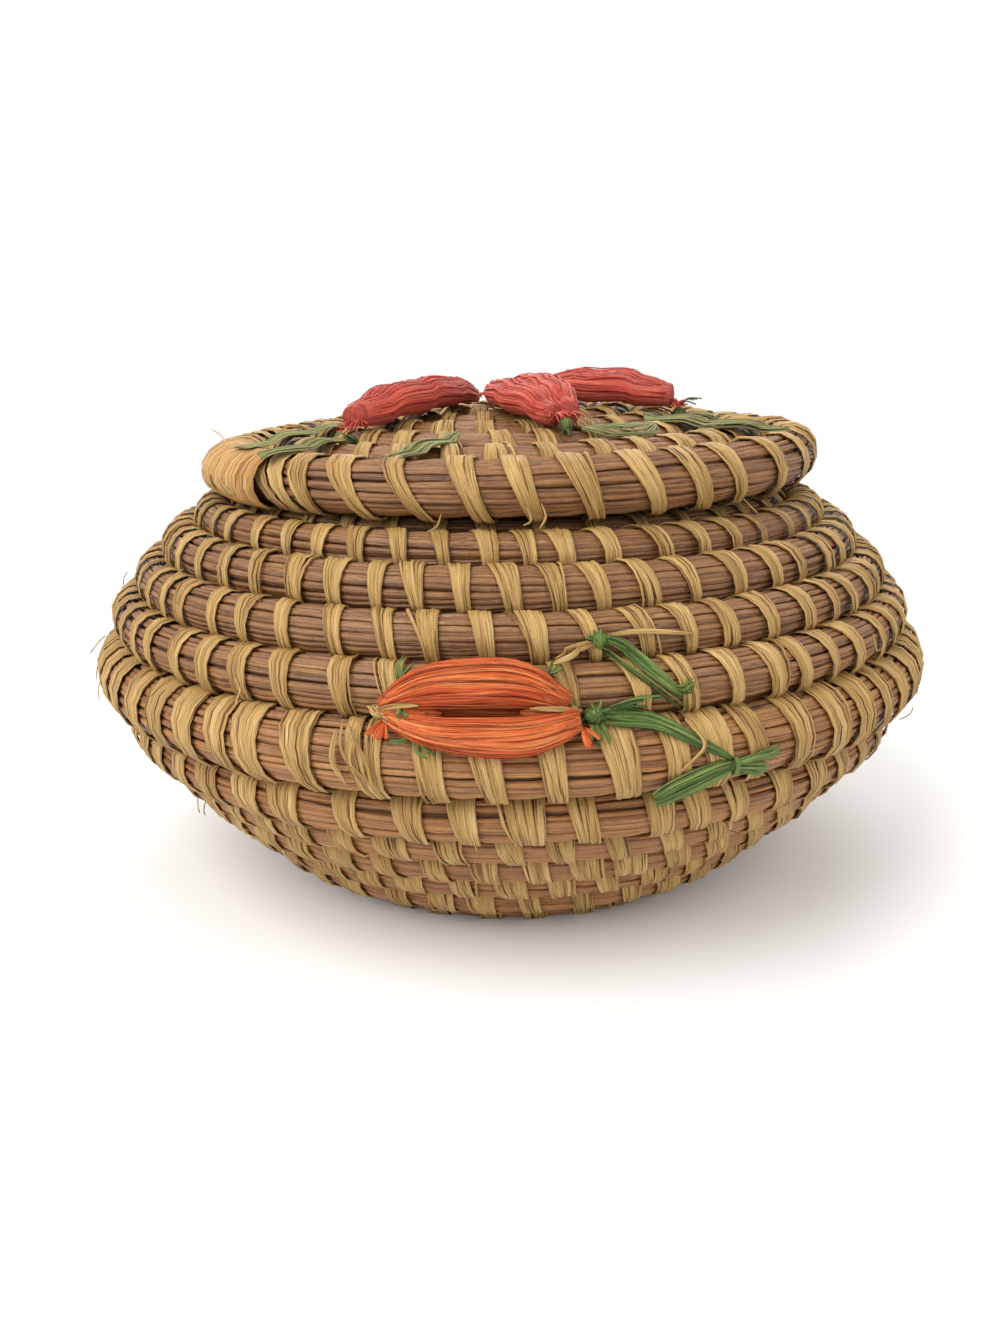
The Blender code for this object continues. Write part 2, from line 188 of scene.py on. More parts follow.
def lid_rows():
    """The lid's crown from its middle outwards, and its thicker rim last."""
    last = RIM_RADIUS - RIM_SPACING
    step = (last - LID_START) / LID_TURNS
    crown = [LID_START + step * i for i in range(LID_TURNS + 1)]
    return [(r, dome_height(r), LID_COIL) for r in crown] + [(RIM_RADIUS, RIM_HEIGHT, RIM_COIL)]


Coil = namedtuple("Coil", "body rows step_azimuth outside tilt")
BODY = Coil("basket", body_rows(), BODY_STEP_AZIMUTH, 1.0, 0.0)
LID = Coil("lid", lid_rows(), LID_STEP_AZIMUTH, -1.0, LID_TILT)
FOOT_ROW = BASE_TURNS
BELLY_ROW = FOOT_ROW + len(LOWER_SIZES) - 1
SHOULDER_ROW = BELLY_ROW + len(UPPER_SIZES) - 1
NECK_ROW = SHOULDER_ROW + 1
RIM_ROW = LID_TURNS + 1


def coil_at(rows, turn):
    """(radius, height, coil radius) after so many turns. Whole turns lie opposite the step."""
    row = math.floor(turn)
    row_share = smoothstep((turn - row - 0.5) / CLIMB + 0.5)
    lower = rows[min(row, len(rows) - 1)]
    upper = rows[min(row + 1, len(rows) - 1)]
    radius, height, size = mix(lower, upper, row_share)
    return radius, height, size * (1.0 - STEP_DRAW * 4.0 * row_share * (1.0 - row_share))


def heading(start, end):
    """The distance between two places, and the direction from the one to the other, if there is one."""
    apart = math.dist(start[:2], end[:2])
    if apart < 1e-6:
        return apart, (1.0, 0.0)
    return apart, ((end[0] - start[0]) / apart, (end[1] - start[1]) / apart)


def shifted(spot, direction, reach, share=1.0):
    """The place that lies a share of a reach away from a spot."""
    return spot[0] + direction[0] * reach * share, spot[1] + direction[1] * reach * share


def tail_at(rows, turn):
    """The tapered end of the last row, which rides on the coil that climbs to that row."""
    inner = coil_at(rows, turn - 1.0)
    before, last = rows[-2:]
    spacing, outwards = heading(before, last)
    reached = math.dist(before[:2], inner[:2])
    size = (spacing + last[2] - ROW_GAP - inner[2] - reached) / 2
    return *shifted(inner, outwards, inner[2] + size + ROW_GAP), size


def start_at(rows, turn):
    """The tapered start of the first row, inside the coil that climbs away from it."""
    outer = coil_at(rows, turn + 1.0)
    hole = rows[0][0] - rows[0][2]
    size = min((outer[0] - outer[2] - ROW_GAP - START_SLACK - hole) / 2, rows[0][2])
    return hole + size, rows[0][1], size


def along_coil(coil, turn):
    """(radius, height, coil radius) anywhere on a coil, its tapered start and end included."""
    if turn < 0.0:
        return start_at(coil.rows, turn)
    if turn > len(coil.rows) - 0.5 - CLIMB / 2:
        return tail_at(coil.rows, turn)
    return coil_at(coil.rows, turn)


def place(radius, azimuth, height):
    return Vector((radius * math.sin(azimuth), -radius * math.cos(azimuth), height))


def rightward(azimuth):
    """The direction along a coil in which its azimuth grows."""
    return place(1.0, azimuth + math.pi / 2, 0.0)


def azimuth_at(coil, turn):
    return math.tau * (turn - 0.5) + math.radians(coil.step_azimuth)


def tilted(coil, azimuth, radius, height):
    """A place on a coil, with the coil's tilt."""
    point = place(radius, azimuth, height)
    point.z += point.x * math.tan(math.radians(coil.tilt))
    return point


def turns_at(coil, azimuth):
    """Every turn of a coil that passes an azimuth in degrees: (radius, height, coil radius)."""
    phase = ((azimuth - coil.step_azimuth) / 360 + 0.5) % 1.0
    found = [along_coil(coil, count + phase) for count in range(len(coil.rows) + 1)]
    return [turn for turn in found if turn[2] > TAIL_TIP]


def resting(turns, position, reach, across_wall):
    """How far out a flat strip rests on the coils under it.

    Across the wall the position is a height and the answer a radius, and on the lid the reverse.
    """
    found = []
    for radius, height, coil_size in turns:
        row, out = (height, radius) if across_wall else (radius, height)
        for step in range(9):
            edge = position + reach * (step / 4 - 1) - row
            room = (coil_size + NEEDLE_STANDS) ** 2 - edge ** 2
            if room > 0:
                found.append(out + math.sqrt(room))
    return max(found) if found else turns[-1][0 if across_wall else 1]


def on_wall(across, height, lift, reach=1.0):
    """A place on the wall: mm to the right of the front, mm up, and mm out from the coils."""
    azimuth = across / WALL_MM_PER_DEGREE
    turns = turns_at(BODY, azimuth)[FOOT_ROW:]
    radius = resting(turns, height * MM, reach * MM, True)
    return place(radius + lift * MM, math.radians(azimuth), height * MM)


def on_lid(x, y, lift, reach=1.0):
    """A place on the lid: mm to the right of its middle, mm back, and mm up from the coils."""
    turns = turns_at(LID, math.degrees(math.atan2(x, -y)))
    radius = max(math.hypot(x, y) * MM, turns[0][0])
    height = resting(turns, radius, reach * MM, False)
    return Vector((x * MM, y * MM, height + lift * MM + x * MM * math.tan(math.radians(LID_TILT))))


def route(places, share):
    """A place on a smooth curve through the given ones."""
    ends = [tuple(2 * p - q for p, q in zip(places[0], places[1]))]
    ends.append(tuple(2 * p - q for p, q in zip(places[-1], places[-2])))
    knots = [ends[0], *places, ends[1]]
    at = share * (len(places) - 1)
    k = min(int(at), len(places) - 2)
    u = at - k
    a, b, c, d = knots[k:k + 4]
    return tuple(0.5 * (2 * q + (r - p) * u + (2 * p - 5 * q + 4 * r - s) * u * u
                        + (3 * q - p - 3 * r + s) * u ** 3) for p, q, r, s in zip(a, b, c, d))


def in_air(azimuth, height, radius, lift, reach=1.0):
    """A place by its azimuth in degrees, its height and its distance from the middle, in mm."""
    return place((radius + lift) * MM, math.radians(azimuth), height * MM)


def wall_places(places):
    """Azimuths and heights as places for on_wall."""
    return [(azimuth * WALL_MM_PER_DEGREE, height) for azimuth, height in places]


def wall_axes(azimuth, height, lift, reach):
    """A place on the wall, and the directions out, to the right and up there."""
    across = azimuth * WALL_MM_PER_DEGREE
    centre = on_wall(across, height, lift, reach)
    out = (on_wall(across, height, lift + 1.0, reach) - centre).normalized()
    side = rightward(math.radians(azimuth))
    return centre, out, side, side.cross(out)


def level(values, share):
    """A number that changes smoothly through the given ones."""
    return route([(value,) for value in values], share)[0]


def sideways(places, share):
    """The direction to the left of a route on the flat, of length 1."""
    ahead, behind = route(places, min(share + 0.02, 1.0)), route(places, max(share - 0.02, 0.0))
    run = math.dist(ahead[:2], behind[:2])
    return -(ahead[1] - behind[1]) / run, (ahead[0] - behind[0]) / run


def new_object(name, points, edges, faces, fields):
    """An object of bare points, lines or faces, with named values or vectors at its points."""
    mesh = bpy.data.meshes.new(name)
    mesh.from_pydata([tuple(p) for p in points], edges, faces)
    for key, values in fields.items():
        vectors = isinstance(values[0], (tuple, Vector))
        kind, field = ("FLOAT_VECTOR", "vector") if vectors else ("FLOAT", "value")
        flat = [c for v in values for c in v] if vectors else values
        mesh.attributes.new(key, kind, "POINT").data.foreach_set(field, flat)
    obj = bpy.data.objects.new(name, mesh)
    bpy.context.scene.collection.objects.link(obj)
    return obj


Shape = namedtuple("Shape", "places half loft fullness")


class Bundle:
    """Raffia strips on one body, in one mesh, and the random draws that vary them.

    Each point keeps its way across, its way along and its strip's number. Lengths, half widths,
    thicknesses and lifts are in mm.
    """

    def __init__(self, body, surface=None, seed=0):
        self.body, self.surface = body, surface
        self.rng = random.Random(seed)
        self.points, self.faces, self.lays = [], [], []

    def vary(self, low, high):
        return self.rng.uniform(low, high)

    def own(self):
        """A new strip's number."""
        return self.vary(0, 40)

    def loft(self, rings, lays):
        """A closed skin through rings of the same number of points, with both ends closed."""
        start = len(self.points)
        count = len(rings[0])
        for ring, lay in zip(rings, lays):
            self.points += ring
            self.lays += lay
        for i in range(len(rings) - 1):
            for j in range(count):
                a, b = start + i * count + j, start + i * count + (j + 1) % count
                self.faces.append((a, b, b + count, a + count))
        self.faces.append(tuple(start + j for j in reversed(range(count))))
        self.faces.append(tuple(start + (len(rings) - 1) * count + j for j in range(count)))

    def strip(self, path, outs, halves, thickness, own):
        """A flat strip along a path in metres, ridged lengthwise."""
        rings, lays = [], []
        travelled = 0.0
        for i, (spot, out, half) in enumerate(zip(path, outs, halves)):
            ahead, behind = path[min(i + 1, len(path) - 1)], path[max(i - 1, 0)]
            along = (ahead - behind).normalized()
            side = along.cross(out).normalized()
            face = side.cross(along)
            travelled += (spot - behind).length / MM
            ring, lay = [], []
            for j in range(STRIP_POINTS):
                a = -1.0 + 2.0 * j / (STRIP_POINTS - 1)
                ridge = noise.noise(Vector((a * 2.6 + own * 7.0, travelled * 0.06, own)))
                height = thickness * (0.25 + math.sqrt(max(1.0 - a * a, 0.0))) * (1.0 + 0.8 * ridge)
                ring.append(spot + side * (a * half * MM) + face * (height * MM))
                lay.append((a * half, travelled, own))
            for a in (0.55, -0.55):
                ring.append(spot + side * (a * half * MM) - face * (0.25 * thickness * MM))
                lay.append((a * half, travelled, own))
            rings.append(ring)
            lays.append(lay)
        self.loft(rings, lays)

    def blade(self, places, half, thickness, own, lift, steps, tip=0.25, reach=1.0):
        """A strip that lies on the surface. Lift is a number or (start, middle, end)."""
        lifts = lift if isinstance(lift, tuple) else (lift, lift)
        path, outs, halves = [], [], []
        for i in range(steps + 1):
            share = i / steps
            spot = route(places, share)
            rise = level(lifts, share)
            path.append(self.surface(*spot, rise, reach))
            outs.append((self.surface(*spot, rise + 1.0, reach) - path[-1]).normalized())
            halves.append(half * (tip + (1.0 - tip) * math.sin(math.pi * share) ** 0.6))
        self.strip(path, outs, halves, thickness, own)

    def leaf(self, places, count, half, spread, lift, reach):
        """Strips side by side, each a little astray.

        Spread is half the width of them all at the start, in the middle and at the end.
        """
        for i in range(count):
            over = 0.0 if count == 1 else (i / (count - 1) - 0.5) * 2.0
            moved = []
            for k, spot in enumerate(places):
                share = k / (len(places) - 1)
                apart = level(spread, share) * over + self.vary(-0.12, 0.12)
                moved.append(shifted(spot, sideways(places, share), apart))
            rise = lift + self.vary(-0.15, 0.35) - 0.35 * abs(over)
            self.blade(moved, half * self.vary(0.75, 1.2), 0.16, self.own(),
                       (rise * 0.6, rise + self.vary(0, 0.3), rise * 0.6), 16, 0.45, reach)

    def petal_frame(self, shape, share):
        """A petal's middle line at a share of its length: place, outwards, across and fullness."""
        spot = route(shape.places, share)
        reach = shape.half * 0.8
        base = self.surface(*spot, 0.0, reach)
        out = (self.surface(*spot, 1.0, reach) - base).normalized()
        edge = self.surface(*shifted(spot, sideways(shape.places, share), 1.0), 0.0, reach) - base
        across = (edge - out * edge.dot(out)).normalized()
        return base, out, across, level(shape.fullness, share)

    def petal(self, shape, own, folds, pleat):
        """A plump bundle, pleated lengthwise and gathered to both ends."""
        rings, lays = [], []
        travelled = 0.0
        before = None
        for i in range(PETAL_STEPS + 1):
            base, out, across, swell = self.petal_frame(shape, i / PETAL_STEPS)
            travelled += (base - before).length / MM if before else 0.0
            before = base
            ring, lay = [], []
            for j in range(PETAL_AROUND):
                angle = math.tau * j / PETAL_AROUND
                a, b = math.cos(angle), math.sin(angle)
                at = Vector((a * folds + own * 5.0, b * folds + travelled * 0.012,
                             own * 3.0 + travelled * 0.02))
                fold = abs(noise.noise(at)) * 2.6 - 0.55 + noise.noise(at * 2.6) * 0.5
                grown_by = 1.0 + pleat * fold
                flat = 1.0 if b > 0.0 else 0.75
                width = shape.half * swell * a * grown_by
                puff = 0.5 + 0.5 * b * grown_by * flat
                rise = 0.3 + shape.loft * puff * (0.3 + 0.7 * swell)
                ring.append(base + across * (width * MM) + out * (rise * MM))
                lay.append((angle * shape.half * 1.2, travelled, own + math.floor(fold * 2.0) * 0.01))
            rings.append(ring)
            lays.append(lay)
        self.loft(rings, lays)

    def on_petal(self, shape, angle, own, width, first, last):
        """One loose strip that lies along a petal."""
        path, outs, halves = [], [], []
        for i in range(17):
            share = first + (last - first) * i / 16
            base, out, across, swell = self.petal_frame(shape, share)
            turned = angle + noise.noise(Vector((share * 2.0, own, 3.0))) * 0.2
            a, b = math.cos(turned), math.sin(turned)
            puff = 1.03 + noise.noise(Vector((share * 3.0, own, 8.0))) * 0.06
            offset = shape.half * swell * a * puff
            rise = 0.35 + shape.loft * (0.5 + 0.5 * b * puff) * (0.3 + 0.7 * swell)
            path.append(base + across * (offset * MM) + out * (rise * MM))
            outs.append((across * a + out * b).normalized())
            halves.append(width * (0.35 + 0.65 * math.sin(math.pi * i / 16) ** 0.5))
        self.strip(path, outs, halves, 0.1, own)

    def petal_strips(self, shape, count, margin, astray, widths, latest):
        """Loose strips side by side over a petal, each from a different start to a different end."""
        for i in range(count):
            angle = math.pi * (margin + (1.0 - 2 * margin) * i / (count - 1))
            self.on_petal(shape, angle + self.vary(-astray, astray), self.own(), self.vary(*widths),
                          self.vary(0.0, latest), self.vary(0.88, 1.0))

    def tuft(self, spot, turns, length, half, lift, ahead=0.0):
        """Short cut ends that splay from one place, each turned from the direction ahead."""
        for turn in turns:
            direction = math.radians(ahead + turn + self.vary(-9, 9))
            reach = length * self.vary(0.75, 1.15)
            tilt = self.vary(-0.5, 0.7)
            middle = shifted(spot, (math.cos(direction), math.sin(direction)), reach, 0.5)
            direction = math.radians(ahead + turn + self.vary(-25, 25))
            far = shifted(middle, (math.cos(direction), math.sin(direction)), reach, 0.5)
            self.blade([spot, middle, far], half * self.vary(0.7, 1.2), 0.14, self.own(),
                       (lift, lift + 0.4 + tilt * 0.5, lift + tilt), 7, 0.6)

    def loop(self, centre, out, side, up, size, half, own):
        """A strip wound once round a knot or a gathered end. Size is its reach up, out and sideways."""
        path, outs = [], []
        for i in range(15):
            angle = math.tau * i / 14 + self.vary(0, 0.05)
            drift = size[2] * (i / 14 - 0.5)
            direction = out * math.sin(angle) * size[1] + up * math.cos(angle) * size[0]
            path.append(centre + (direction + side * drift) * MM)
            outs.append(direction.normalized())
        self.strip(path, outs, [half] * 15, 0.2, own)

    def knot(self, centre, out, side, up, size):
        """Strips wound over each other into a small ball."""
        for i in range(7):
            turned = math.pi * i / 7 + self.vary(-0.2, 0.2)
            first = side * math.cos(turned) + up * math.sin(turned)
            second = up * math.cos(turned) - side * math.sin(turned)
            shrink = self.vary(0.62, 0.95)
            drift = self.vary(-0.3, 0.3) * size
            self.loop(centre, out, first, second, (size * shrink, size * shrink, drift), size * 0.42,
                      self.own())

    def piece(self, name, raffia, *nodes):
        """Makes the strips one finished piece that stands for solid nodes."""
        obj = new_object(name + "_raffia", self.points, [], self.faces, {"lay": self.lays})
        shell = bmesh.new()
        shell.from_mesh(obj.data)
        bmesh.ops.recalc_face_normals(shell, faces=shell.faces)
        shell.to_mesh(obj.data)
        shell.free()
        obj.data.shade_smooth()
        obj.data.materials.append(raffia.material)
        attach(obj, self.body)
        if nodes:
            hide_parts(*nodes)


def operator(operation, after=False):
    """A wire's operator, for a wire before the other value or after it."""
    return lambda wire, other: wire.joined(operation, *((other, wire) if after else (wire, other)))


class Wire:
    """One output of a node, with the arithmetic that adds further nodes to its tree."""

    __add__, __radd__ = operator("ADD"), operator("ADD", True)
    __sub__, __rsub__ = operator("SUBTRACT"), operator("SUBTRACT", True)
    __mul__, __rmul__ = operator("MULTIPLY"), operator("MULTIPLY", True)
    __truediv__, __pow__ = operator("DIVIDE"), operator("POWER")

    def __init__(self, tree, socket=None):
        self.tree = tree
        self.socket = socket

    def node(self, kind, inputs=None, output=0, **settings):
        """A node of a type: its settings first, then its inputs' values or links."""
        made = self.tree.nodes.new(kind)
        for name, value in settings.items():
            setattr(made, name, value)
        for key, value in (inputs or {}).items():
            if isinstance(value, Wire):
                self.tree.links.new(value.socket, made.inputs[key])
            else:
                made.inputs[key].default_value = value
        return Wire(self.tree, made.outputs[output])

    def joined(self, operation, a, b):
        vectors = [isinstance(x, tuple) or isinstance(x, Wire) and x.socket.type == "VECTOR"
                   for x in (a, b)]
        if operation == "MULTIPLY" and any(vectors) and not all(vectors):
            vector, number = (a, b) if vectors[0] else (b, a)
            return self.node("ShaderNodeVectorMath", {0: vector, 3: number}, operation="SCALE")
        kind = "ShaderNodeVectorMath" if any(vectors) else "ShaderNodeMath"
        return self.node(kind, {0: a, 1: b}, operation=operation)

    def maths(self, operation, other=0.0):
        return self.node("ShaderNodeMath", {0: self, 1: other}, operation=operation)

    def part(self, axis):
        return self.node("ShaderNodeSeparateXYZ", {0: self}, output=axis)

    def between(self, low, high):
        """0 below low, 1 above high, smooth in between."""
        return self.node("ShaderNodeMapRange", {0: self, 1: low, 2: high}, interpolation_type="SMOOTHSTEP")


def vector(x, y, z):
    """A vector from three numbers or wires, one of them a wire."""
    first = next(value for value in (x, y, z) if isinstance(value, Wire))
    return first.node("ShaderNodeCombineXYZ", {0: x, 1: y, 2: z})


def clouds(at, scale, detail=2.0):
    """Smooth noise about 0, mostly from -1 to 1."""
    return at.node("ShaderNodeTexNoise", {0: at, 2: scale, 3: detail}) * 4.0 - 2.0


def blend(share, a, b):
    return share.node("ShaderNodeMix", {0: share, 6: a, 7: b}, output=2, data_type="RGBA")


def colour(red, green, blue):
    """A colour socket's value from the three parts as a paint chart gives them, 0 to 255."""
    linear = [c / 255 / 12.92 if c < 11 else ((c / 255 + 0.055) / 1.055) ** 2.4
              for c in (red, green, blue)]
    return (*linear, 1.0)


def shades(tone, *stops):
    """Colours picked by a number, from stops of a position and a paint chart's colour."""
    picked = tone.node("ShaderNodeValToRGB", {0: tone})
    elements = picked.socket.node.color_ramp.elements
    while len(elements) < len(stops):
        elements.new(1.0)
    for element, (position, shade) in zip(elements, stops):
        element.position = position
        element.color = colour(*shade)
    return picked


def new_material(name, roughness, specular=0.5):
    """A material with its shader's fixed values, and the wire that starts its maths."""
    material = bpy.data.materials.new(name)
    material.use_nodes = True
    tree = material.node_tree
    shader = tree.nodes["Principled BSDF"]
    shader.inputs["Roughness"].default_value = roughness
    shader.inputs["Specular IOR Level"].default_value = specular
    return material, shader, Wire(tree)


def link(wire, shader, name):
    wire.tree.links.new(wire.socket, shader.inputs[name])


def needle_material():
    """Dry brown needles: each a little different, greyer up the wall and more orange low down, with painted
    shade in their grooves and a few painted highlights.

    Attribute grain holds the needle's own number, the way along it and the way round its bundle.
    """
    material, shader, start = new_material("dry_pine_needles", 0.5)
    grain = start.node("ShaderNodeAttribute", output=1, attribute_name="grain")
    own, along = grain.part(0), grain.part(1)
    core = start.node("ShaderNodeAttribute", output=2, attribute_name="core")
    spot = start.node("ShaderNodeTexCoord", output=3)
    height = spot.part(2)
    radius = (spot.part(0) ** 2.0 + spot.part(1) ** 2.0) ** 0.5
    swing = spot.part(0).maths("ARCTAN2", 0.0 - spot.part(1))
    # These two noises paint thin dark lines along the needles: painted shade in the grooves between them.
    # They also shape the bump.
    lines = clouds(vector(radius * 2900.0, height * 2900.0, swing * 3.0), 1.0, 3.0)
    crease_shade_and_bump = lines.between(0.25, 0.9)
    streaks = clouds(vector(own * 37.0, along * 0.14, own * 11.0), 1.0)
    fine = clouds(vector(own * 53.0, along * 0.9, grain.part(2) * 2.0), 1.0, 3.0)
    luck = own.node("ShaderNodeTexWhiteNoise", {1: own * 7.3}, noise_dimensions="1D")
    # A few needles are painted much paler in short patches: painted highlights along the needles.
    highlight_patches = clouds(vector(own * 3.0, along * 0.03, 5.0), 1.0).between(0.0, 0.7)
    lid = height.between(67.0 * MM, 71.0 * MM)
    tone = luck * 0.5 + luck.between(0.84, 1.0) * highlight_patches * 0.3 + streaks * 0.16 + fine * 0.06 + 0.24
    # Painted shade: the groove lines darken the tone here.
    tone = tone - lines * 0.13 - crease_shade_and_bump * 0.26 - lid * 0.1
    high = height.between(34.0 * MM, 56.0 * MM) * (1.0 - lid * 0.35)
    upper = shades(tone, (0.0, (78, 49, 25)), (0.35, (117, 79, 47)), (0.7, (143, 100, 59)),
                   (1.0, (192, 150, 94)))
    lower = shades(tone, (0.0, (98, 60, 29)), (0.35, (141, 93, 51)), (0.7, (168, 115, 62)),
                   (1.0, (206, 158, 94)))
    dry = blend(high, lower, upper)
    # The core is painted dark: painted shade seen in the gaps between the needles.
    link(blend(core, dry, colour(86, 57, 34)), shader, "Base Color")
    link(0.46 + fine * 0.06 + core * 0.4, shader, "Roughness")
    link(start.node("ShaderNodeBump", {0: 0.6, 1: 0.15 * MM, 3: fine - lines - crease_shade_and_bump}), shader, "Normal")
    return material


Raffia = namedtuple("Raffia", "material slot")


def new_raffia(name, slot, dark, plain, pale, split=0.55):
    """Raffia strips with fine lengthwise fibres, and slits painted dark as shade and sunk in the bump, as
    deep as split says.

    Attribute lay holds the way across a strip, the way along it and the strip's own number.
    """
    material, shader, start = new_material(name, 0.5, 0.4)
    lay = start.node("ShaderNodeAttribute", output=1, attribute_name="lay")
    across, along, own = lay.part(0), lay.part(1), lay.part(2)
    fibres = clouds(vector(across * 6.5, along * 0.13, own * 9.0), 1.0, 3.0)
    broad = clouds(vector(across * 1.3, along * 0.1, own * 5.0 + 30.0), 1.0)
    # The slits are painted dark: painted shade in the gaps where a strip splits. They are sunk in the bump
    # as well.
    slits = clouds(vector(across * 3.0, along * 0.09, own * 3.0 + 60.0), 1.0, 3.0).between(0.3, 0.75)
    tone = own.node("ShaderNodeTexWhiteNoise", {1: own * 3.7}, noise_dimensions="1D") * 0.3
    tone = tone + 0.4 + fibres * 0.36 + broad * 0.16 - slits * split
    link(shades(tone, (0.05, dark), (0.5, plain), (0.95, pale)), shader, "Base Color")
    link(0.5 + fibres * 0.06, shader, "Roughness")
    relief = fibres - slits * split * 2.7
    link(start.node("ShaderNodeBump", {0: 0.8, 1: 0.25 * MM, 3: relief}), shader, "Normal")
    return Raffia(material, slot)


def new_tree(name, inputs):
    """A geometry tree's start wire, and a wire for each of its inputs, which are named by kind."""
    tree = bpy.data.node_groups.new(name, "GeometryNodeTree")
    tree.interface.new_socket("Geometry", in_out="OUTPUT", socket_type="NodeSocketGeometry")
    for kind, keys in {"Geometry": ["Geometry"], **inputs}.items():
        for key in keys:
            tree.interface.new_socket(key, in_out="INPUT", socket_type="NodeSocket" + kind)
    entry = tree.nodes.new("NodeGroupInput")
    return Wire(tree), {socket.name: Wire(tree, socket) for socket in entry.outputs if socket.name}


def closed_tree(geometry, material):
    """The tree, ended: its geometry realised, and with its material."""
    geometry = geometry.node("GeometryNodeRealizeInstances", {0: geometry})
    geometry = geometry.node("GeometryNodeSetMaterial", {0: geometry, 2: material})
    exit_node = geometry.tree.nodes.new("NodeGroupOutput")
    geometry.tree.links.new(geometry.socket, exit_node.inputs[0])
    return geometry.tree


def attributes(start, kind, *names):
    return [start.node("GeometryNodeInputNamedAttribute", {0: name}, data_type=kind) for name in names]


def stored(geometry, name, value, kind="FLOAT"):
    return geometry.node("GeometryNodeStoreNamedAttribute", {0: geometry, 2: name, 3: value},
                         data_type=kind, domain="POINT")


def kept_above(geometry, height):
    """The geometry, with no point lower than a height."""
    spot = geometry.node("GeometryNodeInputPosition")
    raised = vector(spot.part(0), spot.part(1), spot.part(2).maths("MAXIMUM", height))
    return geometry.node("GeometryNodeSetPosition", {0: geometry, 2: raised})


def needles_tree(material):
    """Needles side by side round a guide line, each with its own wander, over a core that the needle
    material paints dark as shade.
    """
    floats = ("Half width", "Stands", "Wander", "Dive", "Pinch", "Core depth")
    start, given = new_tree("needles_round_a_coil", {"Int": ("Needles", "Seed"), "Float": floats})
    line = start.node("GeometryNodeMeshToCurve", {0: given["Geometry"]})
    copies = line.node("GeometryNodeDuplicateElements", {0: line, 2: given["Needles"]}, domain="SPLINE")
    own = Wire(start.tree, copies.socket.node.outputs[1])

    def chance(low, high, seed):
        picked = {2: low, 3: high, 7: own, 8: given["Seed"] + seed}
        return start.node("FunctionNodeRandomValue", picked, output=1, data_type="FLOAT")

    travel, size, pinch = attributes(start, "FLOAT", "travel", "size", "pinch")
    row_at = vector(travel * 0.02, own * 7.7, given["Seed"] * 3.1)
    angle = (own + chance(-0.24, 0.24, 1)) / given["Needles"] * math.tau
    angle = angle + clouds(row_at, 1.0, 1.0) * given["Wander"]
    depth = clouds(row_at + (0.0, 31.0, 0.0), 1.6, 1.0) * given["Dive"] + chance(-0.11, 0.12, 2) * MM
    uneven = 1.0 + chance(-0.26, 0.42, 3) + clouds(row_at + (0.0, 57.0, 0.0), 1.2, 1.0) * 0.12
    half = given["Half width"] * uneven
    pinched = pinch * given["Pinch"]
    out = size + given["Stands"] - half + depth - pinched
    spot = start.node("GeometryNodeInputPosition")
    outwards = start.node("ShaderNodeVectorMath", {0: spot * (1.0, 1.0, 0.0)}, operation="NORMALIZE")
    offset = outwards * (out * angle.maths("COSINE")) + (0.0, 0.0, 1.0) * (out * angle.maths("SINE"))
    moved = kept_above(copies.node("GeometryNodeSetPosition", {0: copies, 3: offset}), 1.05 * half)
    moved = stored(moved, "grain", vector(own + 0.37, travel, angle * 3.0), "FLOAT_VECTOR")
    ring = start.node("GeometryNodeCurvePrimitiveCircle", {0: NEEDLE_SIDES, 4: 1.0})
    needles = moved.node("GeometryNodeCurveToMesh", {0: moved, 1: ring, 2: half, 3: True})
    thick = start.node("GeometryNodeCurvePrimitiveCircle", {0: 9, 4: 1.0})
    inside = size - given["Core depth"] - pinched
    core = line.node("GeometryNodeCurveToMesh", {0: line, 1: thick, 2: inside, 3: True})
    both = start.tree.nodes.new("GeometryNodeJoinGeometry")
    for piece in (stored(needles, "core", 0.0), stored(kept_above(core, 0.5 * MM), "core", 1.0)):
        start.tree.links.new(piece.socket, both.inputs[0])
    return closed_tree(Wire(start.tree, both.outputs[0]), material)


def stitches_tree(material, strip_ring):
    """A closed strip round the coil at each point of a guide, placed by the point's attributes."""
    start, given = new_tree("stitches_round_a_coil", {})
    strip = start.node("GeometryNodeObjectInfo", {0: strip_ring}, output=4)
    placed = start.node("GeometryNodeInstanceOnPoints",
                        {0: given["Geometry"], 2: strip, 6: (0.0, 0.0, 0.0)})
    placed = placed.node("GeometryNodeRealizeInstances", {0: placed})
    ring, out, up, run, lean, fan = attributes(start, "FLOAT_VECTOR", "ring", "out", "up", "run", "lean",
                                               "fan")
    across, size, half, own = attributes(start, "FLOAT", "across", "size", "half", "own")
    cosine, sine, skin = ring.part(0), ring.part(1), ring.part(2)
    wobble_at = vector(cosine * 0.9 + own * 3.3, sine * 0.9, own * 1.7)
    upper = fan.part(0) * cosine + fan.part(1) * sine
    ridge_at = vector(across * half * 2400.0 + own * 5.1, cosine * 0.4, own * 2.3)
    rise = STRIP_RISE + lean.part(2) + skin * STRIP_THICKNESS * (1.0 + clouds(ridge_at, 1.0) * 0.75)
    reach = size + (rise + clouds(wobble_at, 0.8) * 0.07 * MM)
    flare = 1.0 + upper * FLARE + clouds(wobble_at + (9.0, 0.0, 0.0), 0.9) * 0.1
    side = (lean.part(0) + across * half) * flare - lean.part(1) * upper
    side = side + clouds(wobble_at + (0.0, 21.0, 0.0), 0.7) * 0.16 * MM
    drop = (0.0 - upper).maths("MAXIMUM", 0.0) * 0.5 * MM
    offset = out * (reach * cosine - drop * fan.part(0)) + up * (reach * sine - drop * fan.part(1))
    placed = placed.node("GeometryNodeSetPosition", {0: placed, 3: offset + run * side})
    placed = kept_above(placed, 0.08 * MM + skin * 0.1 * MM)
    turned = sine.maths("ARCTAN2", cosine) * size / MM
    placed = stored(placed, "lay", vector(across * half / MM, turned, own), "FLOAT_VECTOR")
    return closed_tree(placed, material)


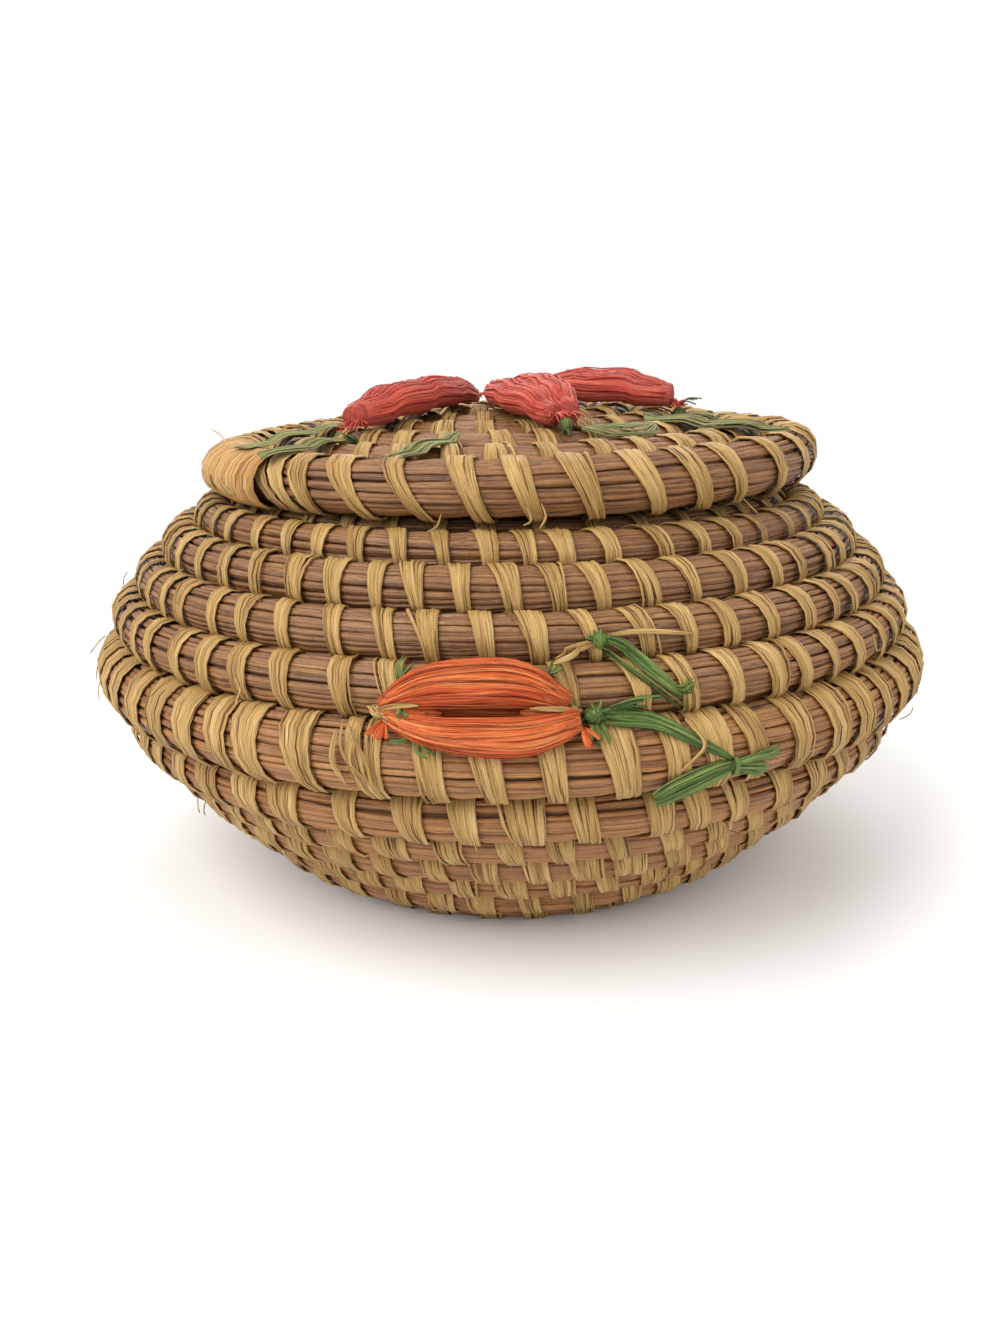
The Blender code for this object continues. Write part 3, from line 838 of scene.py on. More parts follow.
def grown(obj, tree, values):
    """Runs a geometry tree on a guide, and keeps the result as a plain mesh."""
    modifier = obj.modifiers.new(tree.name, "NODES")
    modifier.node_group = tree
    for socket in tree.interface.items_tree:
        if socket.name in values:
            modifier[socket.identifier] = values[socket.name]
    bpy.context.view_layer.update()
    depsgraph = bpy.context.evaluated_depsgraph_get()
    mesh = bpy.data.meshes.new_from_object(obj.evaluated_get(depsgraph))
    obj.modifiers.clear()
    line = obj.data
    obj.data = mesh
    bpy.data.meshes.remove(line)
    mesh.shade_smooth()
    return obj


def strip_ring():
    """The strip that every stitch is made from: a closed ring, known by its attributes alone."""
    spread = [-1.0 + 2.0 * i / (ACROSS - 1) for i in range(ACROSS)]
    section = [(across, 1.0 - 0.55 * abs(across) ** 3) for across in spread] + [(0.0, -0.6)]
    points, rings, sides, faces = [], [], [], []
    count = len(section)
    for j in range(AROUND):
        angle = math.tau * j / AROUND
        following = (j + 1) % AROUND
        for i, (across, skin) in enumerate(section):
            thick = 1 + skin * 0.05
            points.append((across * 0.1, math.cos(angle) * thick, math.sin(angle) * thick))
            rings.append((math.cos(angle), math.sin(angle), skin))
            sides.append(across)
            beside = (i + 1) % count
            faces.append((j * count + i, j * count + beside, following * count + beside,
                          following * count + i))
    return new_object("strip_ring", points, [], faces, {"ring": rings, "across": sides})


# Stitches that the photograph shows, by row from the belly's coil up or down, as azimuths
BODY_STITCHES = {
    BELLY_ROW + 4: (-37.1, -30.6, -24.2, -17.5, -10.6, -3.7, 1.8, 7.3, 13.7, 22.1, 28.9, 35.7),
    BELLY_ROW + 3: (-38.1, -30.8, -24.5, -18.1, -13.0, -6.7, -0.7, 5.2, 10.9, 17.5),
    BELLY_ROW + 2: (-29.3, -22.2, -15.5, -10.0, -3.5, 2.4, 8.7, 15.2, 20.8),
    BELLY_ROW + 1: (-33.1, -27.0, -19.3, -13.4, -7.0, -0.8, 5.9, 13.5, 19.3, 25.2, 31.3, 35.4),
    BELLY_ROW: (-34.0, -29.7, -23.0, -15.3, -8.5, -2.7, 4.0, 11.4, 17.1, 21.9, 26.7, 33.0),
    BELLY_ROW - 1: (-28.0, -19.3, -11.6, -5.4, 1.7, 8.3, 17.1, 22.1, 27.6, 34.7),
    BELLY_ROW - 2: (-22.4, -15.5, -7.9, 0.1, 6.5, 13.8, 21.3),
}
RIM_STITCHES = {RIM_ROW: (-86.0, -80.0, -45.5, -41.0, -35.8,
                          -26.0, -15.9, -5.8, 2.3, 11.7, 22.2, 31.0, 39.1, 51.4, 62.9)}


def stitch_turns(coil, seen, first, last, rng):
    """Where a coil's stitches lie, as turn counts: seen ones, and evenly spread ones between."""
    turns = []
    middle = 0.0 if coil.step_azimuth == 180.0 else coil.step_azimuth + 180.0
    for row in range(math.floor(first + 0.5), math.ceil(last - 0.5) + 1):
        known = sorted((a - middle) / 360 for a in seen.get(row, ()))
        spacing = STITCH_SPACING / (math.tau * along_coil(coil, row)[0])
        if known:
            room = known[0] + 0.5
            before = max(round(room / spacing), 1)
            spots = [-0.5 + room * (i + 0.5) / (before + 0.5) for i in range(before)]
            room = 0.5 - known[-1]
            after = max(round(room / spacing), 1)
            spots += known + [known[-1] + room * (i + 1) / (after + 0.5) for i in range(after)]
        else:
            count = max(round(1.0 / spacing), 4)
            spots = [-0.5 + (i + 0.5) / count for i in range(count)]
        for spot in spots:
            loose = 0.0 if spot in known else rng.uniform(-0.1, 0.1) * spacing
            turns.append(row + spot + loose)
    return [turn for turn in sorted(turns)
            if first < turn < last and along_coil(coil, turn)[2] > TAIL_TIP]


def wall_frame(coil, turn, azimuth):
    """Directions across a coil: away from the basket's inside, and towards the row that follows."""
    behind = along_coil(coil, max(turn - 0.5, 0.0))
    ahead = along_coil(coil, min(turn + 0.5, len(coil.rows) - 1.0))
    _, towards = heading(behind, ahead)
    up = place(towards[0], azimuth, towards[1])
    out = place(towards[1] * coil.outside, azimuth, -towards[0] * coil.outside)
    return out, up


def coil_path(coil, first, last, stops):
    """Points of a coil's middle line, with stops where its stitches lie and two between."""
    ends = [first] + [turn for turn in stops if first < turn < last] + [last]
    turns = []
    for a, b in zip(ends, ends[1:]):
        count = max(round((b - a) * math.tau * along_coil(coil, a)[0] / GUIDE_STEP), 2)
        turns += [a + (b - a) * i / count for i in range(count)]
    turns.append(last)
    points, sizes, pinches, travels = [], [], [], []
    stops = np.array(stops)
    for turn in turns:
        radius, height, size = along_coil(coil, turn)
        if size < TAIL_TIP:
            continue
        point = tilted(coil, azimuth_at(coil, turn), radius, height)
        away = np.abs(stops - turn).min() * math.tau * radius
        travels.append(travels[-1] + (point - points[-1]).length / MM if points else turn * TRAVEL_A_TURN)
        points.append(point)
        sizes.append(size)
        pinches.append(math.exp(-(away / PINCH_REACH) ** 2))
    return points, {"size": sizes, "pinch": pinches, "travel": travels}


def lay_needles(coil, name, points, values, settings):
    """Needles along a line of points, as one piece."""
    line = new_object(name, points, [(i, i + 1) for i in range(len(points) - 1)], [], values)
    needles = grown(line, NEEDLES, settings)
    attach(needles, coil.body)
    return needles


def stitch_strips(strips, spread, lean, rng):
    """One stitch's strips beside each other, and now and then a thin stray one.

    Each is (way across, slant, lift, width), in mm and in shares of a strip's width.
    """
    narrow = 1.0 if strips == 2 else 0.85
    laid = [((i - (strips - 1) / 2) * spread + rng.uniform(-0.12, 0.12), lean + rng.uniform(-0.25, 0.25),
             rng.uniform(-0.06, 0.12), rng.uniform(0.7, 1.05) * narrow) for i in range(strips)]
    for side in (-1.0, 1.0):
        if rng.random() < STRAY_SHARE:
            laid.append((side * (strips * spread / 2 + rng.uniform(0.2, 0.6)),
                         lean + rng.uniform(-0.8, 0.8), rng.uniform(0.05, 0.3), rng.uniform(0.18, 0.32)))
    return laid


def dress_coil(coil, node, seen, first, last, seed, stands=NEEDLE_STANDS, leaning=1.0, wide=0.3,
               fan=(0.0, 1.0, 0.0)):
    """Covers one coil of the solid model with needles and stitches.

    Wide is how often a stitch has more than two strips. The fan is the direction, beside out and
    up, to which the stitches widen.
    """
    rng = random.Random(seed)
    stops = stitch_turns(coil, seen, first, last, rng)
    points, values = coil_path(coil, first, last, stops)
    size = sum(values["size"]) / len(values["size"])
    needles = lay_needles(coil, node + "_needles", points, values, {
        "Needles": round(math.tau * (size - NEEDLES_INSIDE) / NEEDLE_PITCH), "Seed": seed,
        "Half width": NEEDLE_HALF_WIDTH, "Stands": stands, "Wander": NEEDLE_WANDER,
        "Dive": NEEDLE_DIVE, "Pinch": PINCH, "Core depth": CORE_DEPTH})
    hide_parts(node)
    spots = []
    for turn in stops:
        radius, height, thickness = along_coil(coil, turn)
        azimuth = azimuth_at(coil, turn)
        centre = tilted(coil, azimuth, radius, height)
        out, up = wall_frame(coil, turn, azimuth)
        run = rightward(azimuth)
        strips = 3 if rng.random() < wide else 2
        strips += rng.random() < wide - 0.7
        spread = rng.uniform(1.1, 1.35) * (1.0 if strips == 2 else 0.82)
        lean = rng.uniform(0.7, 1.3) * leaning
        for across, slant, lift, width in stitch_strips(strips, spread, lean, rng):
            spots.append((centre, out, up, run, fan, thickness + stands,
                          (across * MM, slant * MM, lift * MM), STRIP_HALF_WIDTH * width,
                          rng.uniform(0.0, 40.0)))
    keys = ("out", "up", "run", "fan", "size", "lean", "half", "own")
    for first_strip in range(0, len(spots), STRIPS_A_PIECE):
        columns = list(zip(*spots[first_strip:first_strip + STRIPS_A_PIECE]))
        name = node + "_stitches" + ("_more" if first_strip else "")
        dots = new_object(name, columns[0], [], [], dict(zip(keys, columns[1:])))
        stitches = grown(dots, STITCHES, {})
        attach(stitches, coil.body)


def pack_crevice(coil, name, seed):
    """A few needles pressed in between each row of a coil and the next."""
    turns = [-0.9]
    while along_coil(coil, turns[-1] + 1.0)[2] > TAIL_TIP:
        turns.append(turns[-1] + CREVICE_STEP / (math.tau * along_coil(coil, turns[-1])[0]))
    points, travels = [], []
    for turn in turns[:-1]:
        inner, outer = along_coil(coil, turn), along_coil(coil, turn + 1.0)
        apart = math.dist(inner[:2], outer[:2])
        radius, height, _ = mix(inner, outer, (apart + inner[2] - outer[2]) / 2 / apart)
        points.append(tilted(coil, azimuth_at(coil, turn), radius, height))
        travels.append(turn * TRAVEL_A_TURN)
    values = {"size": [CREVICE_SIZE] * len(points), "pinch": [0.0] * len(points), "travel": travels}
    lay_needles(coil, name, points, values, {
        "Needles": 4, "Seed": seed, "Half width": 0.3 * MM, "Stands": 0.1 * MM, "Wander": 0.6,
        "Dive": 0.08 * MM, "Pinch": 0.0, "Core depth": 0.1 * MM})


def make_body_coils():
    """The basket's coils: each one's node, the turn where it ends, and how wide its stitches are."""
    sections = (("base_coil", FOOT_ROW + 0.5, 0.6), ("lower_wall_coil", BELLY_ROW - 0.5, 1.1),
                ("belly_coil", BELLY_ROW + 0.5, 1.45), ("upper_wall_coil", SHOULDER_ROW + 0.5, 0.3),
                ("neck_coil", NECK_ROW + 1.0, 0.3))
    first = COIL_START
    for seed, (node, last, wide) in enumerate(sections):
        stands = 0.05 * MM if node == "neck_coil" else NEEDLE_STANDS
        dress_coil(BODY, node, BODY_STITCHES, first, last, seed, stands, 1.0, wide)
        first = last
    pack_crevice(BODY, "wall_crevice_needles", 14)


def make_lid_coils():
    """The lid's crown, its rim, whose stitches widen outwards, and the seat under it."""
    crown_end = LID_TURNS + 0.5
    dress_coil(LID, "lid_crown_coil", {}, COIL_START, crown_end, 11, NEEDLE_STANDS, -1.0, 0.5)
    dress_coil(LID, "lid_rim_coil", RIM_STITCHES, crown_end, RIM_ROW + 1.0, 12, NEEDLE_STANDS, 2.4,
               0.7, (1.0, 0.0, 0.0))
    seat = LID._replace(rows=[(*SEAT, SEAT_COIL)] * 4)
    dress_coil(seat, "lid_seat_coil", {}, 1.0, 2.0, 13, 0.0)
    pack_crevice(LID, "lid_crevice_needles", 15)


def tufts_on_wall(bundle, *tufts):
    """Tufts on the wall, each by its azimuth and height and by what Bundle.tuft needs."""
    for azimuth, height, *rest in tufts:
        bundle.tuft((azimuth * WALL_MM_PER_DEGREE, height), *rest)


def wall_knot(name, azimuth, height, size, raffia, tails, seed, strands=()):
    """A small tight knot on the wall, with its cut ends and strands that lie on the petals."""
    bundle = Bundle("basket", on_wall, seed)
    bundle.knot(*wall_axes(azimuth, height, size, 0.5), size)
    tufts_on_wall(bundle, (azimuth, height, tails, size * 1.9, 0.3, size * 0.6))
    for places in strands:
        bundle.blade(wall_places(places), 0.45, 0.12, bundle.own(), (1.6, 2.7, 2.9), 10)
    bundle.piece(name, raffia, name)


def fill_flower_slot(bundle):
    """What lies between the wall flower's petals: cut ends at both ties, and flat strips."""
    tufts_on_wall(bundle, (-13.6, 45.6, (-60, -90, -120, -150, -75), 2.0, 0.4, 1.2),
                  (7.0, 45.2, (-20, -60, -95, -75), 2.4, 0.35, 1.4))
    bundle.blade(wall_places([(-12.0, 46.9), (-3.5, 47.4), (4.8, 47.1)]), 1.3, 0.15, 3.3, 0.6, 14)
    for left, right, height, lift in ((-13.8, -7.4, 47.3, 2.0), (-13.4, -8.8, 47.0, 2.4),
                                      (0.6, 6.4, 47.5, 2.0), (1.8, 6.6, 47.1, 2.4)):
        places = [(left, height), ((left + right) / 2, height + 0.1), (right, height)]
        bundle.blade(wall_places(places), 0.9, 0.14, bundle.own(), lift, 10)


def make_wall_flower(orange, natural, green):
    """The orange flower: two pleated petals, tied at both ends, with an open slot between."""
    petals = (("flower_petal_upper", ((-14.2, 47.8), (-9.3, 50.6), (-4.4, 51.4), (0.6, 51.2), (5.7, 48.5)),
               (0.3, 0.84, 1.0, 0.96, 0.38), 3.15, 20),
              ("flower_petal_lower", ((-13.9, 46.6), (-8.6, 45.2), (-3.4, 44.8), (1.6, 44.9), (6.8, 46.2)),
               (0.4, 0.74, 0.98, 1.0, 0.6), 2.5, 21))
    for name, places, fullness, half, seed in petals:
        bundle = Bundle("basket", on_wall, seed)
        shape = Shape(wall_places(places), half, WALL_LOFT, fullness)
        bundle.petal(shape, seed * 1.3, 3.0, 0.06)
        bundle.petal_strips(shape, 14, 0.04, 0.08, (0.4, 1.0), 0.12)
        if name.endswith("lower"):
            fill_flower_slot(bundle)
        bundle.piece(name, orange, name)
    left = (((-14.4, 47.2), (-12.2, 48.2), (-9.6, 48.6)), ((-14.4, 46.8), (-12.2, 46.9), (-9.8, 46.9)),
            ((-14.4, 46.4), (-12.6, 46.0), (-10.8, 45.8)))
    right = (((6.2, 47.6), (4.4, 48.1), (1.6, 48.4)), ((6.2, 47.1), (4.0, 47.0), (1.8, 46.9)))
    wall_knot("flower_tie_left", -14.4, 46.8, 1.15, natural, (170,), 22, left)
    wall_knot("flower_tie_right", 6.0, 47.0, 1.0, natural, (10,), 23, right)
    wall_knot("flower_knot", 8.4, 46.5, 1.2, green, (60, 20, -20, -160, 110), 24)
    wall_knot("sprig_knot", 9.7, 55.6, 1.0, green, (150, 120, 175, 80, 20), 25)


def make_wall_leaves(green):
    """The green stems and leaves beside the flower, each of a few thin strips."""
    none = (0.0, 0.0, 0.0)
    leaves = (
        ("flower_knot_tail", ((8.2, 46.0), (7.9, 44.8), (7.5, 43.2)), 1, 0.3, none, 1.0),
        ("flower_knot_tail", ((8.4, 46.0), (8.6, 44.6), (8.6, 43.0)), 1, 0.36, none, 0.9),
        ("flower_knot_tail", ((8.6, 46.2), (9.3, 45.0), (9.7, 43.4)), 1, 0.3, none, 1.0),
        ("sprig_leaf", ((9.8, 56.0), (12.2, 54.9), (14.8, 52.3), (18.4, 48.2)), 4, 0.34,
         (0.2, 0.6, 0.3), 0.8),
        ("sprig_leaf", ((8.8, 55.2), (11.4, 53.3), (15.2, 49.6), (18.7, 46.1)), 2, 0.22,
         (0.1, 0.25, 0.3), 0.6),
        ("sprig_leaf", ((17.0, 49.2), (18.4, 48.9), (19.8, 49.4)), 4, 0.2, (0.3, 0.6, 1.0), 0.6),
        ("stem_short", ((8.7, 46.4), (10.8, 47.4), (13.0, 48.1), (15.9, 48.1)), 2, 0.3,
         (0.1, 0.3, 0.2), 0.6),
        ("stem_short", ((8.9, 46.6), (12.0, 47.2), (14.2, 47.0)), 1, 0.24, none, 0.6),
        ("stem_long", ((8.8, 46.2), (12.0, 45.9), (15.6, 44.9), (19.2, 42.4), (22.9, 39.4)), 5, 0.42,
         (0.9, 0.6, 0.25), 0.9),
        ("leaf_lower", ((14.6, 34.4), (17.4, 36.2), (21.0, 37.7), (24.0, 38.4)), 11, 0.32,
         (1.35, 1.35, 0.5), 0.7),
        ("leaf_lower", ((22.6, 38.2), (25.8, 38.8), (29.2, 39.1)), 4, 0.34, (0.3, 0.5, 0.7), 0.9),
        ("leaf_lower", ((22.6, 37.9), (25.0, 37.5), (27.6, 36.6)), 4, 0.34, (0.3, 0.5, 0.7), 0.8))
    bundles = {}
    for seed, (name, places, *sizes) in enumerate(leaves):
        bundle = bundles.setdefault(name, Bundle("basket", on_wall))
        bundle.rng.seed(40 + seed)
        bundle.leaf(wall_places(places), *sizes, 3.0 if name == "leaf_lower" else 1.0)
    tied = bundles["leaf_lower"]
    tied.rng.seed(58)
    tied.loop(*wall_axes(23.4, 38.2, 0.7, 1.0), (1.1, 0.75, 0.4), 0.45, 7.7)
    for name, bundle in bundles.items():
        bundle.piece(name, green, name)
    ends = Bundle("basket", on_wall, 59)
    tufts_on_wall(ends, (-11.4, 47.2, (10, 60, 120, 190, 250, 320), 1.0, 0.3, 2.6),
                  (-12.0, 51.0, (60, 80, 100, 120), 2.6, 0.24, 0.9),
                  (3.8, 52.2, (20, 45, 70), 1.8, 0.22, 0.9),
                  (-10.4, 44.2, (-30, -15, -50, -160), 3.4, 0.28, 0.9))
    ends.piece("loose_green_ends", green)


def make_loose_fibres(natural):
    """Thin strands that have come loose from the stitches."""
    wall = Bundle("basket", on_wall, 120)
    strands = (((4.4, 53.8), (7.0, 54.9), (9.6, 55.7)), ((4.2, 53.4), (7.0, 54.4), (9.4, 55.2)),
               ((10.8, 56.2), (15.0, 56.5), (21.4, 55.4)), ((-18.0, 45.6), (-17.2, 41.0), (-13.6, 36.0)),
               ((-17.2, 45.2), (-15.2, 41.4), (-14.4, 36.4)), ((-16.4, 44.8), (-16.8, 40.6), (-15.8, 36.6)),
               ((-18.4, 44.6), (-18.6, 40.4), (-17.4, 37.2)), ((18.0, 45.4), (19.6, 42.0), (17.2, 38.6)))
    for places in strands:
        wall.blade(wall_places(places), wall.vary(0.24, 0.5), 0.12, wall.own(), (0.6, 0.9, 0.6), 14,
                   0.35, 2.0)
    for _ in range(40):
        across = wall.vary(0.0, 360.0) * WALL_MM_PER_DEGREE
        height = wall.vary(10.0, 62.0)
        slope = wall.vary(-0.8, 1.4)
        spots = [(across + slope * drop, height - drop) for drop in (0.0, 1.2, 2.6)]
        wall.blade(spots, wall.vary(0.08, 0.15), 0.1, wall.own(), (0.3, 0.7, wall.vary(0.6, 1.5)), 8,
                   0.25, 2.5)
    wall.piece("loose_fibres_wall", natural)
    rim = Bundle("lid", in_air)
    rim.rng = wall.rng
    hanging = (((4.4, 72.5, 55.6), (5.0, 70.6, 56.2), (4.0, 69.0, 56.8)),
               ((2.2, 72.0, 55.6), (2.8, 70.2, 56.4), (1.6, 69.6, 57.4)),
               ((-10.4, 71.0, 55.2), (-11.0, 69.2, 56.0), (-12.4, 68.4, 57.2)),
               ((-66.0, 77.6, 52.0), (-68.0, 79.4, 52.6), (-71.0, 80.2, 53.8)),
               ((40.0, 71.2, 55.2), (41.5, 69.8, 55.8), (42.0, 68.6, 57.0)))
    for places in hanging:
        rim.blade(places, rim.vary(0.12, 0.2), 0.1, rim.own(), 0.0, 10)
    rim.piece("loose_fibres_lid", natural)


def make_lid_flowers(coral, green):
    """Three coral flowers that meet near the lid's middle, each of two plump bundles and a knot."""
    flowers = (("left", (-6.4, -2.8), (-24.9, -26.8), 2.9, 2.4, 0.8),
               ("middle", (-2.2, -7.2), (8.2, -34.6), 2.9, 1.6, 0.7),
               ("right", (2.6, -4.0), (28.6, -11.0), 2.7, 3.6, 2.4))
    for order, (side, inner, outer, spread, tail, lift) in enumerate(flowers):
        length, along = heading(inner, outer)
        ahead = math.degrees(math.atan2(along[1], along[0]))
        back = math.degrees(math.atan2(-along[1], -along[0]))
        for edge, sign, loft in (("back", 1.0, 6.0), ("front", -1.0, 5.4)):
            bundle = Bundle("lid", on_lid, 60 + order * 2 + (edge == "back"))
            across = (-along[1] * sign, along[0] * sign)
            places = [shifted(shifted(inner, along, length, share), across, spread, offset)
                      for share, offset in ((0.0, 0.35), (0.33, 0.85), (0.66, 0.9), (1.0, 0.4))]
            shape = Shape(places, LID_PETAL, loft, (0.22, 0.78, 1.0, 1.0, 0.58))
            bundle.petal(shape, order * 3.3 + sign, 7.0, 0.03)
            bundle.petal_strips(shape, 10, 0.02, 0.14, (0.15, 0.5), 0.1)
            bundle.tuft(places[0], (-20, 15, 40), 2.6, 0.12, 1.6, back)
            bundle.tuft(places[-1], (-50, -30, -12, 8, 28, 45, 60), 2.6, 0.1, 2.2, back + 180.0)
            name = f"lid_flower_{side}_{edge}"
            bundle.piece(name, coral, name)
        hairs = Bundle("lid", on_lid, 100 + order)
        for share, turned in ((0.3, 60), (0.42, 100), (0.5, 20), (0.58, -30), (0.68, 75)):
            hairs.tuft(shifted(inner, along, length, share), (0, 25), 3.8, 0.07, 5.6, ahead + turned)
        hairs.piece(f"loose_coral_ends_{side}", coral)
        knot = Bundle("lid", on_lid, 70 + order)
        spot = shifted(outer, along, 1.6)
        forward, leftward = Vector((*along, 0.0)), Vector((-along[1], along[0], 0.0))
        knot.knot(on_lid(*spot, 1.2, 0.5), UP, forward, leftward, 1.15)
        knot.tuft(spot, (-40, -10, 15, 50, 75), tail, 0.22, lift, ahead)
        knot.piece(f"lid_knot_{side}", green, f"lid_knot_{side}")


def make_lid_leaves(green):
    """The faded green leaves on the lid, and the small sprig."""
    leaves = (
        ("lid_leaf_upper_left", ((-28.0, -19.6), (-33.4, -21.0), (-38.6, -24.0), (-43.8, -28.6)), 15, 0.36,
         (1.7, 2.8, 2.0), 0.7),
        ("lid_leaf_lower_left", ((-26.6, -31.6), (-30.6, -34.2), (-34.8, -36.8), (-38.6, -38.6)), 12, 0.36,
         (1.1, 2.2, 1.6), 0.7),
        ("lid_leaf_front", ((-17.2, -48.6), (-14.0, -44.8), (-11.0, -41.2), (-8.0, -37.8)), 12, 0.36,
         (1.9, 2.0, 0.6), 0.6),
        ("lid_leaf_right", ((22.4, -23.2), (30.6, -23.6), (38.8, -22.4), (46.6, -20.4)), 19, 0.4,
         (1.7, 3.8, 2.0), 0.7),
        ("lid_sprig", ((11.4, -36.0), (15.0, -36.8), (19.0, -36.2), (22.4, -33.0), (22.6, -29.6)), 7, 0.34,
         (1.2, 1.5, 0.3), 0.7))
    for seed, (name, *sizes) in enumerate(leaves):
        bundle = Bundle("lid", on_lid, 80 + seed)
        bundle.leaf(*sizes, 3.0)
        bundle.piece(name, green, name)


def make_lashing(natural):
    """Close loops that bind the rim's tapered end to the coil beside it."""
    bundle = Bundle("lid", seed=130)
    _, outwards = heading(*LID.rows[-2:])
    for i in range(LASHING_LOOPS):
        degrees = LASHING_START + LASHING_STEP * i + bundle.vary(-0.3, 0.3)
        azimuth = math.radians(degrees)
        turn = RIM_ROW + (degrees - LID_STEP_AZIMUTH - 180.0) / 360.0
        coil, tail = along_coil(LID, turn), along_coil(LID, turn + 1.0)
        thick = max(tail[2], 0.4 * MM)
        apart = coil[2] + thick + ROW_GAP
        centre = tilted(LID, azimuth, *shifted(coil, outwards, (apart + thick - coil[2]) / 2))
        inwards = place(-outwards[0], azimuth, -outwards[1])
        upwards = place(-outwards[1], azimuth, outwards[0])
        size = ((apart + thick + coil[2]) / 2 / MM + 0.3, coil[2] / MM + 0.45, bundle.vary(-0.9, -0.3))
        bundle.loop(centre, upwards, rightward(azimuth), inwards, size, bundle.vary(0.5, 0.95),
                    bundle.own())
    bundle.piece("rim_lashing", natural)


def make_start_knot(natural):
    """The knot that the base coil starts around, pressed flat on the floor."""
    bundle = Bundle("basket", seed=90)
    for i in range(9):
        turned = math.pi * i / 9
        first, second = on_floor(turned), Vector((-math.sin(turned), math.cos(turned), 0.0))
        size = (3.1, 1.75, bundle.vary(-0.6, 0.6))
        bundle.loop(UP * 2.1 * MM, UP, first, second, size, 1.0, bundle.own())
    bundle.piece("start_knot", natural, "start_knot")


def make_base_lining(natural):
    """Raffia crossed inside the base's first rows, so that nothing shows through beside its knot."""
    bundle = Bundle("basket")
    for i in range(LINING_STRIPS):
        along = on_floor(math.pi * i / LINING_STRIPS)
        middle = Vector((0.0, 0.0, (2.6 + 0.05 * i) * MM))
        path = [middle + along * LINING_REACH * (k / 4 - 1) for k in range(9)]
        bundle.strip(path, [UP] * 9, [1.5] * 9, 0.2, i * 3.0)
    bundle.piece("base_lining", natural)


def make_stage():
    """A plain pale floor that curves up behind the basket, white to the camera away from it."""
    profile = [(-1.6, 0.0), (1.2, 0.0), (1.35, 0.03), (1.46, 0.12), (1.5, 0.26), (1.5, 1.6)]
    points = [(x, y, z) for y, z in profile for x in (-2.2, 2.2)]
    faces = [(i, i + 1, i + 3, i + 2) for i in range(0, len(points) - 2, 2)]
    floor = new_object("floor", points, [], faces, {})
    floor.data.shade_smooth()
    material, shader, start = new_material("pale_floor", 0.9, 0.1)
    shader.inputs["Base Color"].default_value = (0.86, 0.86, 0.85, 1.0)
    spot = start.node("ShaderNodeTexCoord", output=3)
    length = spot.node("ShaderNodeVectorMath", {0: spot}, output=1, operation="LENGTH")
    far = length.between(0.09, 0.2)
    path = start.tree.nodes.new("ShaderNodeLightPath")
    seen = Wire(start.tree, path.outputs["Is Camera Ray"]) + Wire(start.tree, path.outputs["Is Glossy Ray"])
    seen = (seen + Wire(start.tree, path.outputs["Is Transmission Ray"])).maths("MINIMUM", 1.0)
    white = start.node("ShaderNodeEmission", {0: (1.0, 1.0, 1.0, 1.0), 1: 1.0})
    plain = Wire(start.tree, shader.outputs[0])
    mixed = start.node("ShaderNodeMixShader", {0: far * seen, 1: plain, 2: white})
    start.tree.links.new(mixed.socket, start.tree.nodes["Material Output"].inputs[0])
    floor.data.materials.append(material)


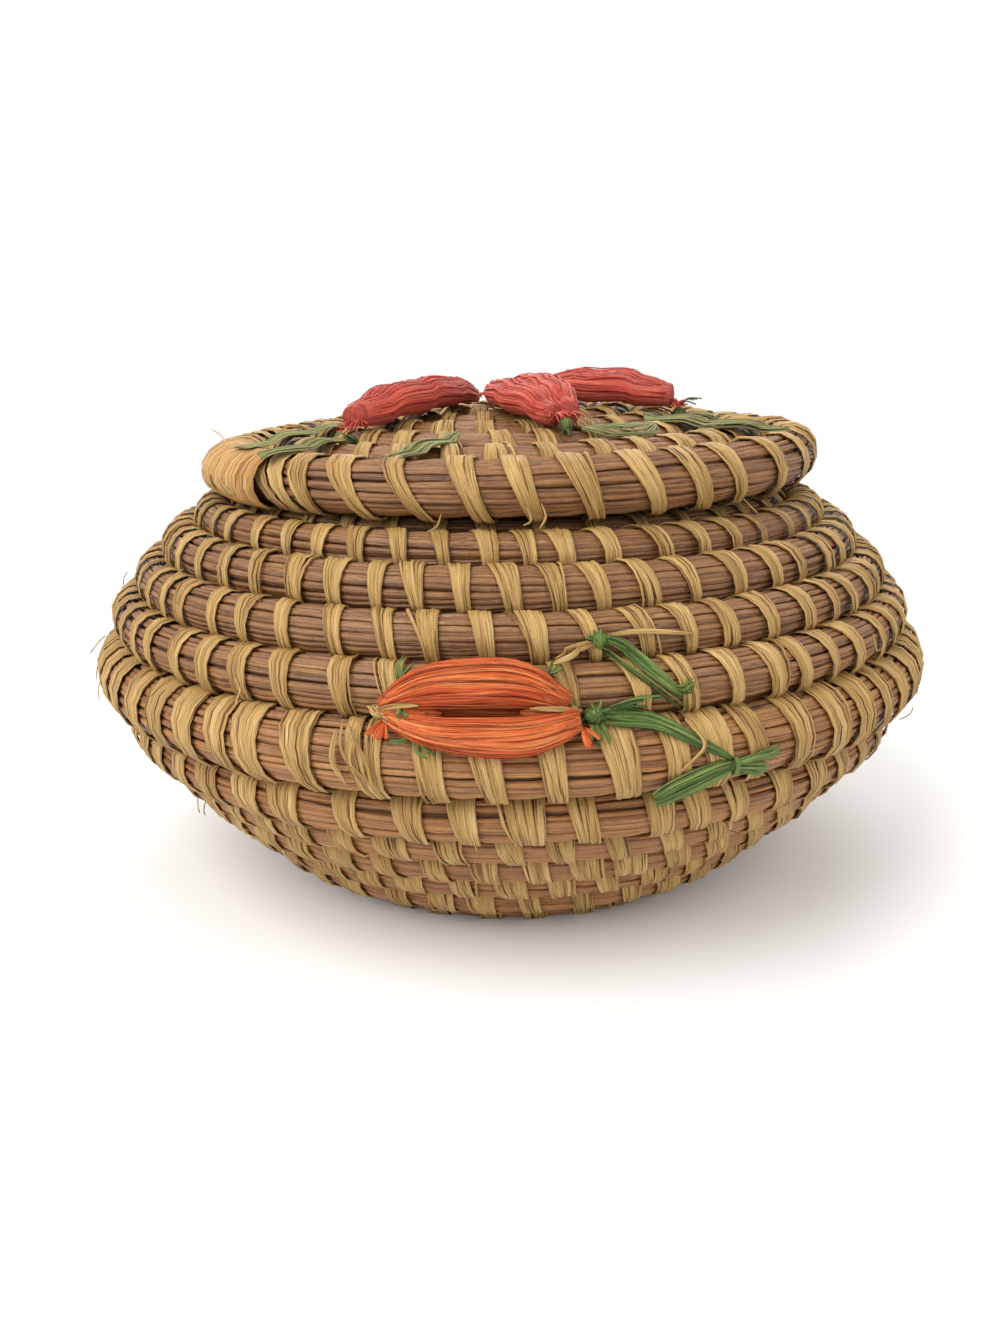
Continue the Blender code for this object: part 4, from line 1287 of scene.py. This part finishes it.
def make_lights():
    """Even white light all round, and three lamps that face the basket's middle."""
    scene = bpy.context.scene
    world = bpy.data.worlds.new("studio")
    world.use_nodes = True
    world.node_tree.nodes["Background"].inputs[0].default_value = (1.0, 1.0, 1.0, 1.0)
    world.node_tree.nodes["Background"].inputs[1].default_value = 0.76
    scene.world = world
    lamps = (("key", (-0.5, -0.42, 0.66), 0.7, 7.8), ("fill", (0.65, -0.35, 0.5), 0.8, 2.6),
             ("back", (0.1, 0.6, 0.7), 0.7, 3.5))
    for name, spot, size, power in lamps:
        light = bpy.data.lights.new(name, "AREA")
        light.shape = "SQUARE"
        light.size = size
        light.energy = power
        lamp = bpy.data.objects.new(name, light)
        lamp.location = spot
        lamp.rotation_euler = (Vector((0.0, 0.0, 0.04)) - Vector(spot)).to_track_quat("-Z", "Y").to_euler()
        scene.collection.objects.link(lamp)


def make_camera():
    """The photograph's camera, fitted to the basket's outline and rows."""
    camera = bpy.data.cameras.new("camera")
    camera.sensor_width = 36.0
    camera.lens = 31.5
    camera.clip_start = 0.01
    obj = bpy.data.objects.new("camera", camera)
    pitch, roll = math.radians(90.0 - CAMERA_DOWN), math.radians(CAMERA_ROLL)
    turn = Matrix.Rotation(pitch, 4, "X") @ Matrix.Rotation(roll, 4, "Z")
    obj.matrix_world = Matrix.Translation(CAMERA_AT) @ turn
    bpy.context.scene.collection.objects.link(obj)
    bpy.context.scene.camera = obj


make_stage()
make_lights()
make_camera()
NATURAL = new_raffia("natural_raffia", "raffia_natural", (104, 67, 27), (186, 145, 82), (220, 185, 122), 0.6)
ORANGE = new_raffia("orange_raffia", "raffia_orange", (154, 48, 14), (213, 87, 28), (238, 152, 86), 0.42)
CORAL = new_raffia("coral_raffia", "raffia_coral", (148, 40, 32), (206, 75, 56), (234, 128, 104), 0.28)
GREEN = new_raffia("green_raffia", "raffia_green", (34, 52, 16), (82, 110, 44), (144, 156, 84), 0.7)
KNOT_GREEN = new_raffia("dark_green_raffia", "raffia_green", (34, 42, 16), (74, 86, 36), (124, 134, 72), 0.7)
FADED_GREEN = new_raffia("faded_green_raffia", "raffia_green", (76, 76, 34), (126, 127, 68), (174, 170, 112))
# The rim lashing's raffia: more orange than the natural raffia, and painted brighter as painted light from
# the lamp on the left.
LASHING = new_raffia("lashing_raffia", "raffia_natural", (128, 82, 34), (204, 152, 86), (226, 186, 122))
NEEDLES = needles_tree(needle_material())
RING = strip_ring()
STITCHES = stitches_tree(NATURAL.material, RING)
make_body_coils()
make_lid_coils()
bpy.data.objects.remove(RING, do_unlink=True)
make_wall_flower(ORANGE, NATURAL, GREEN)
make_wall_leaves(GREEN)
make_loose_fibres(NATURAL)
make_lid_flowers(CORAL, KNOT_GREEN)
make_lid_leaves(FADED_GREEN)
make_lashing(LASHING)
make_start_knot(NATURAL)
make_base_lining(NATURAL)
bpy.context.scene.view_settings.view_transform = "Standard"
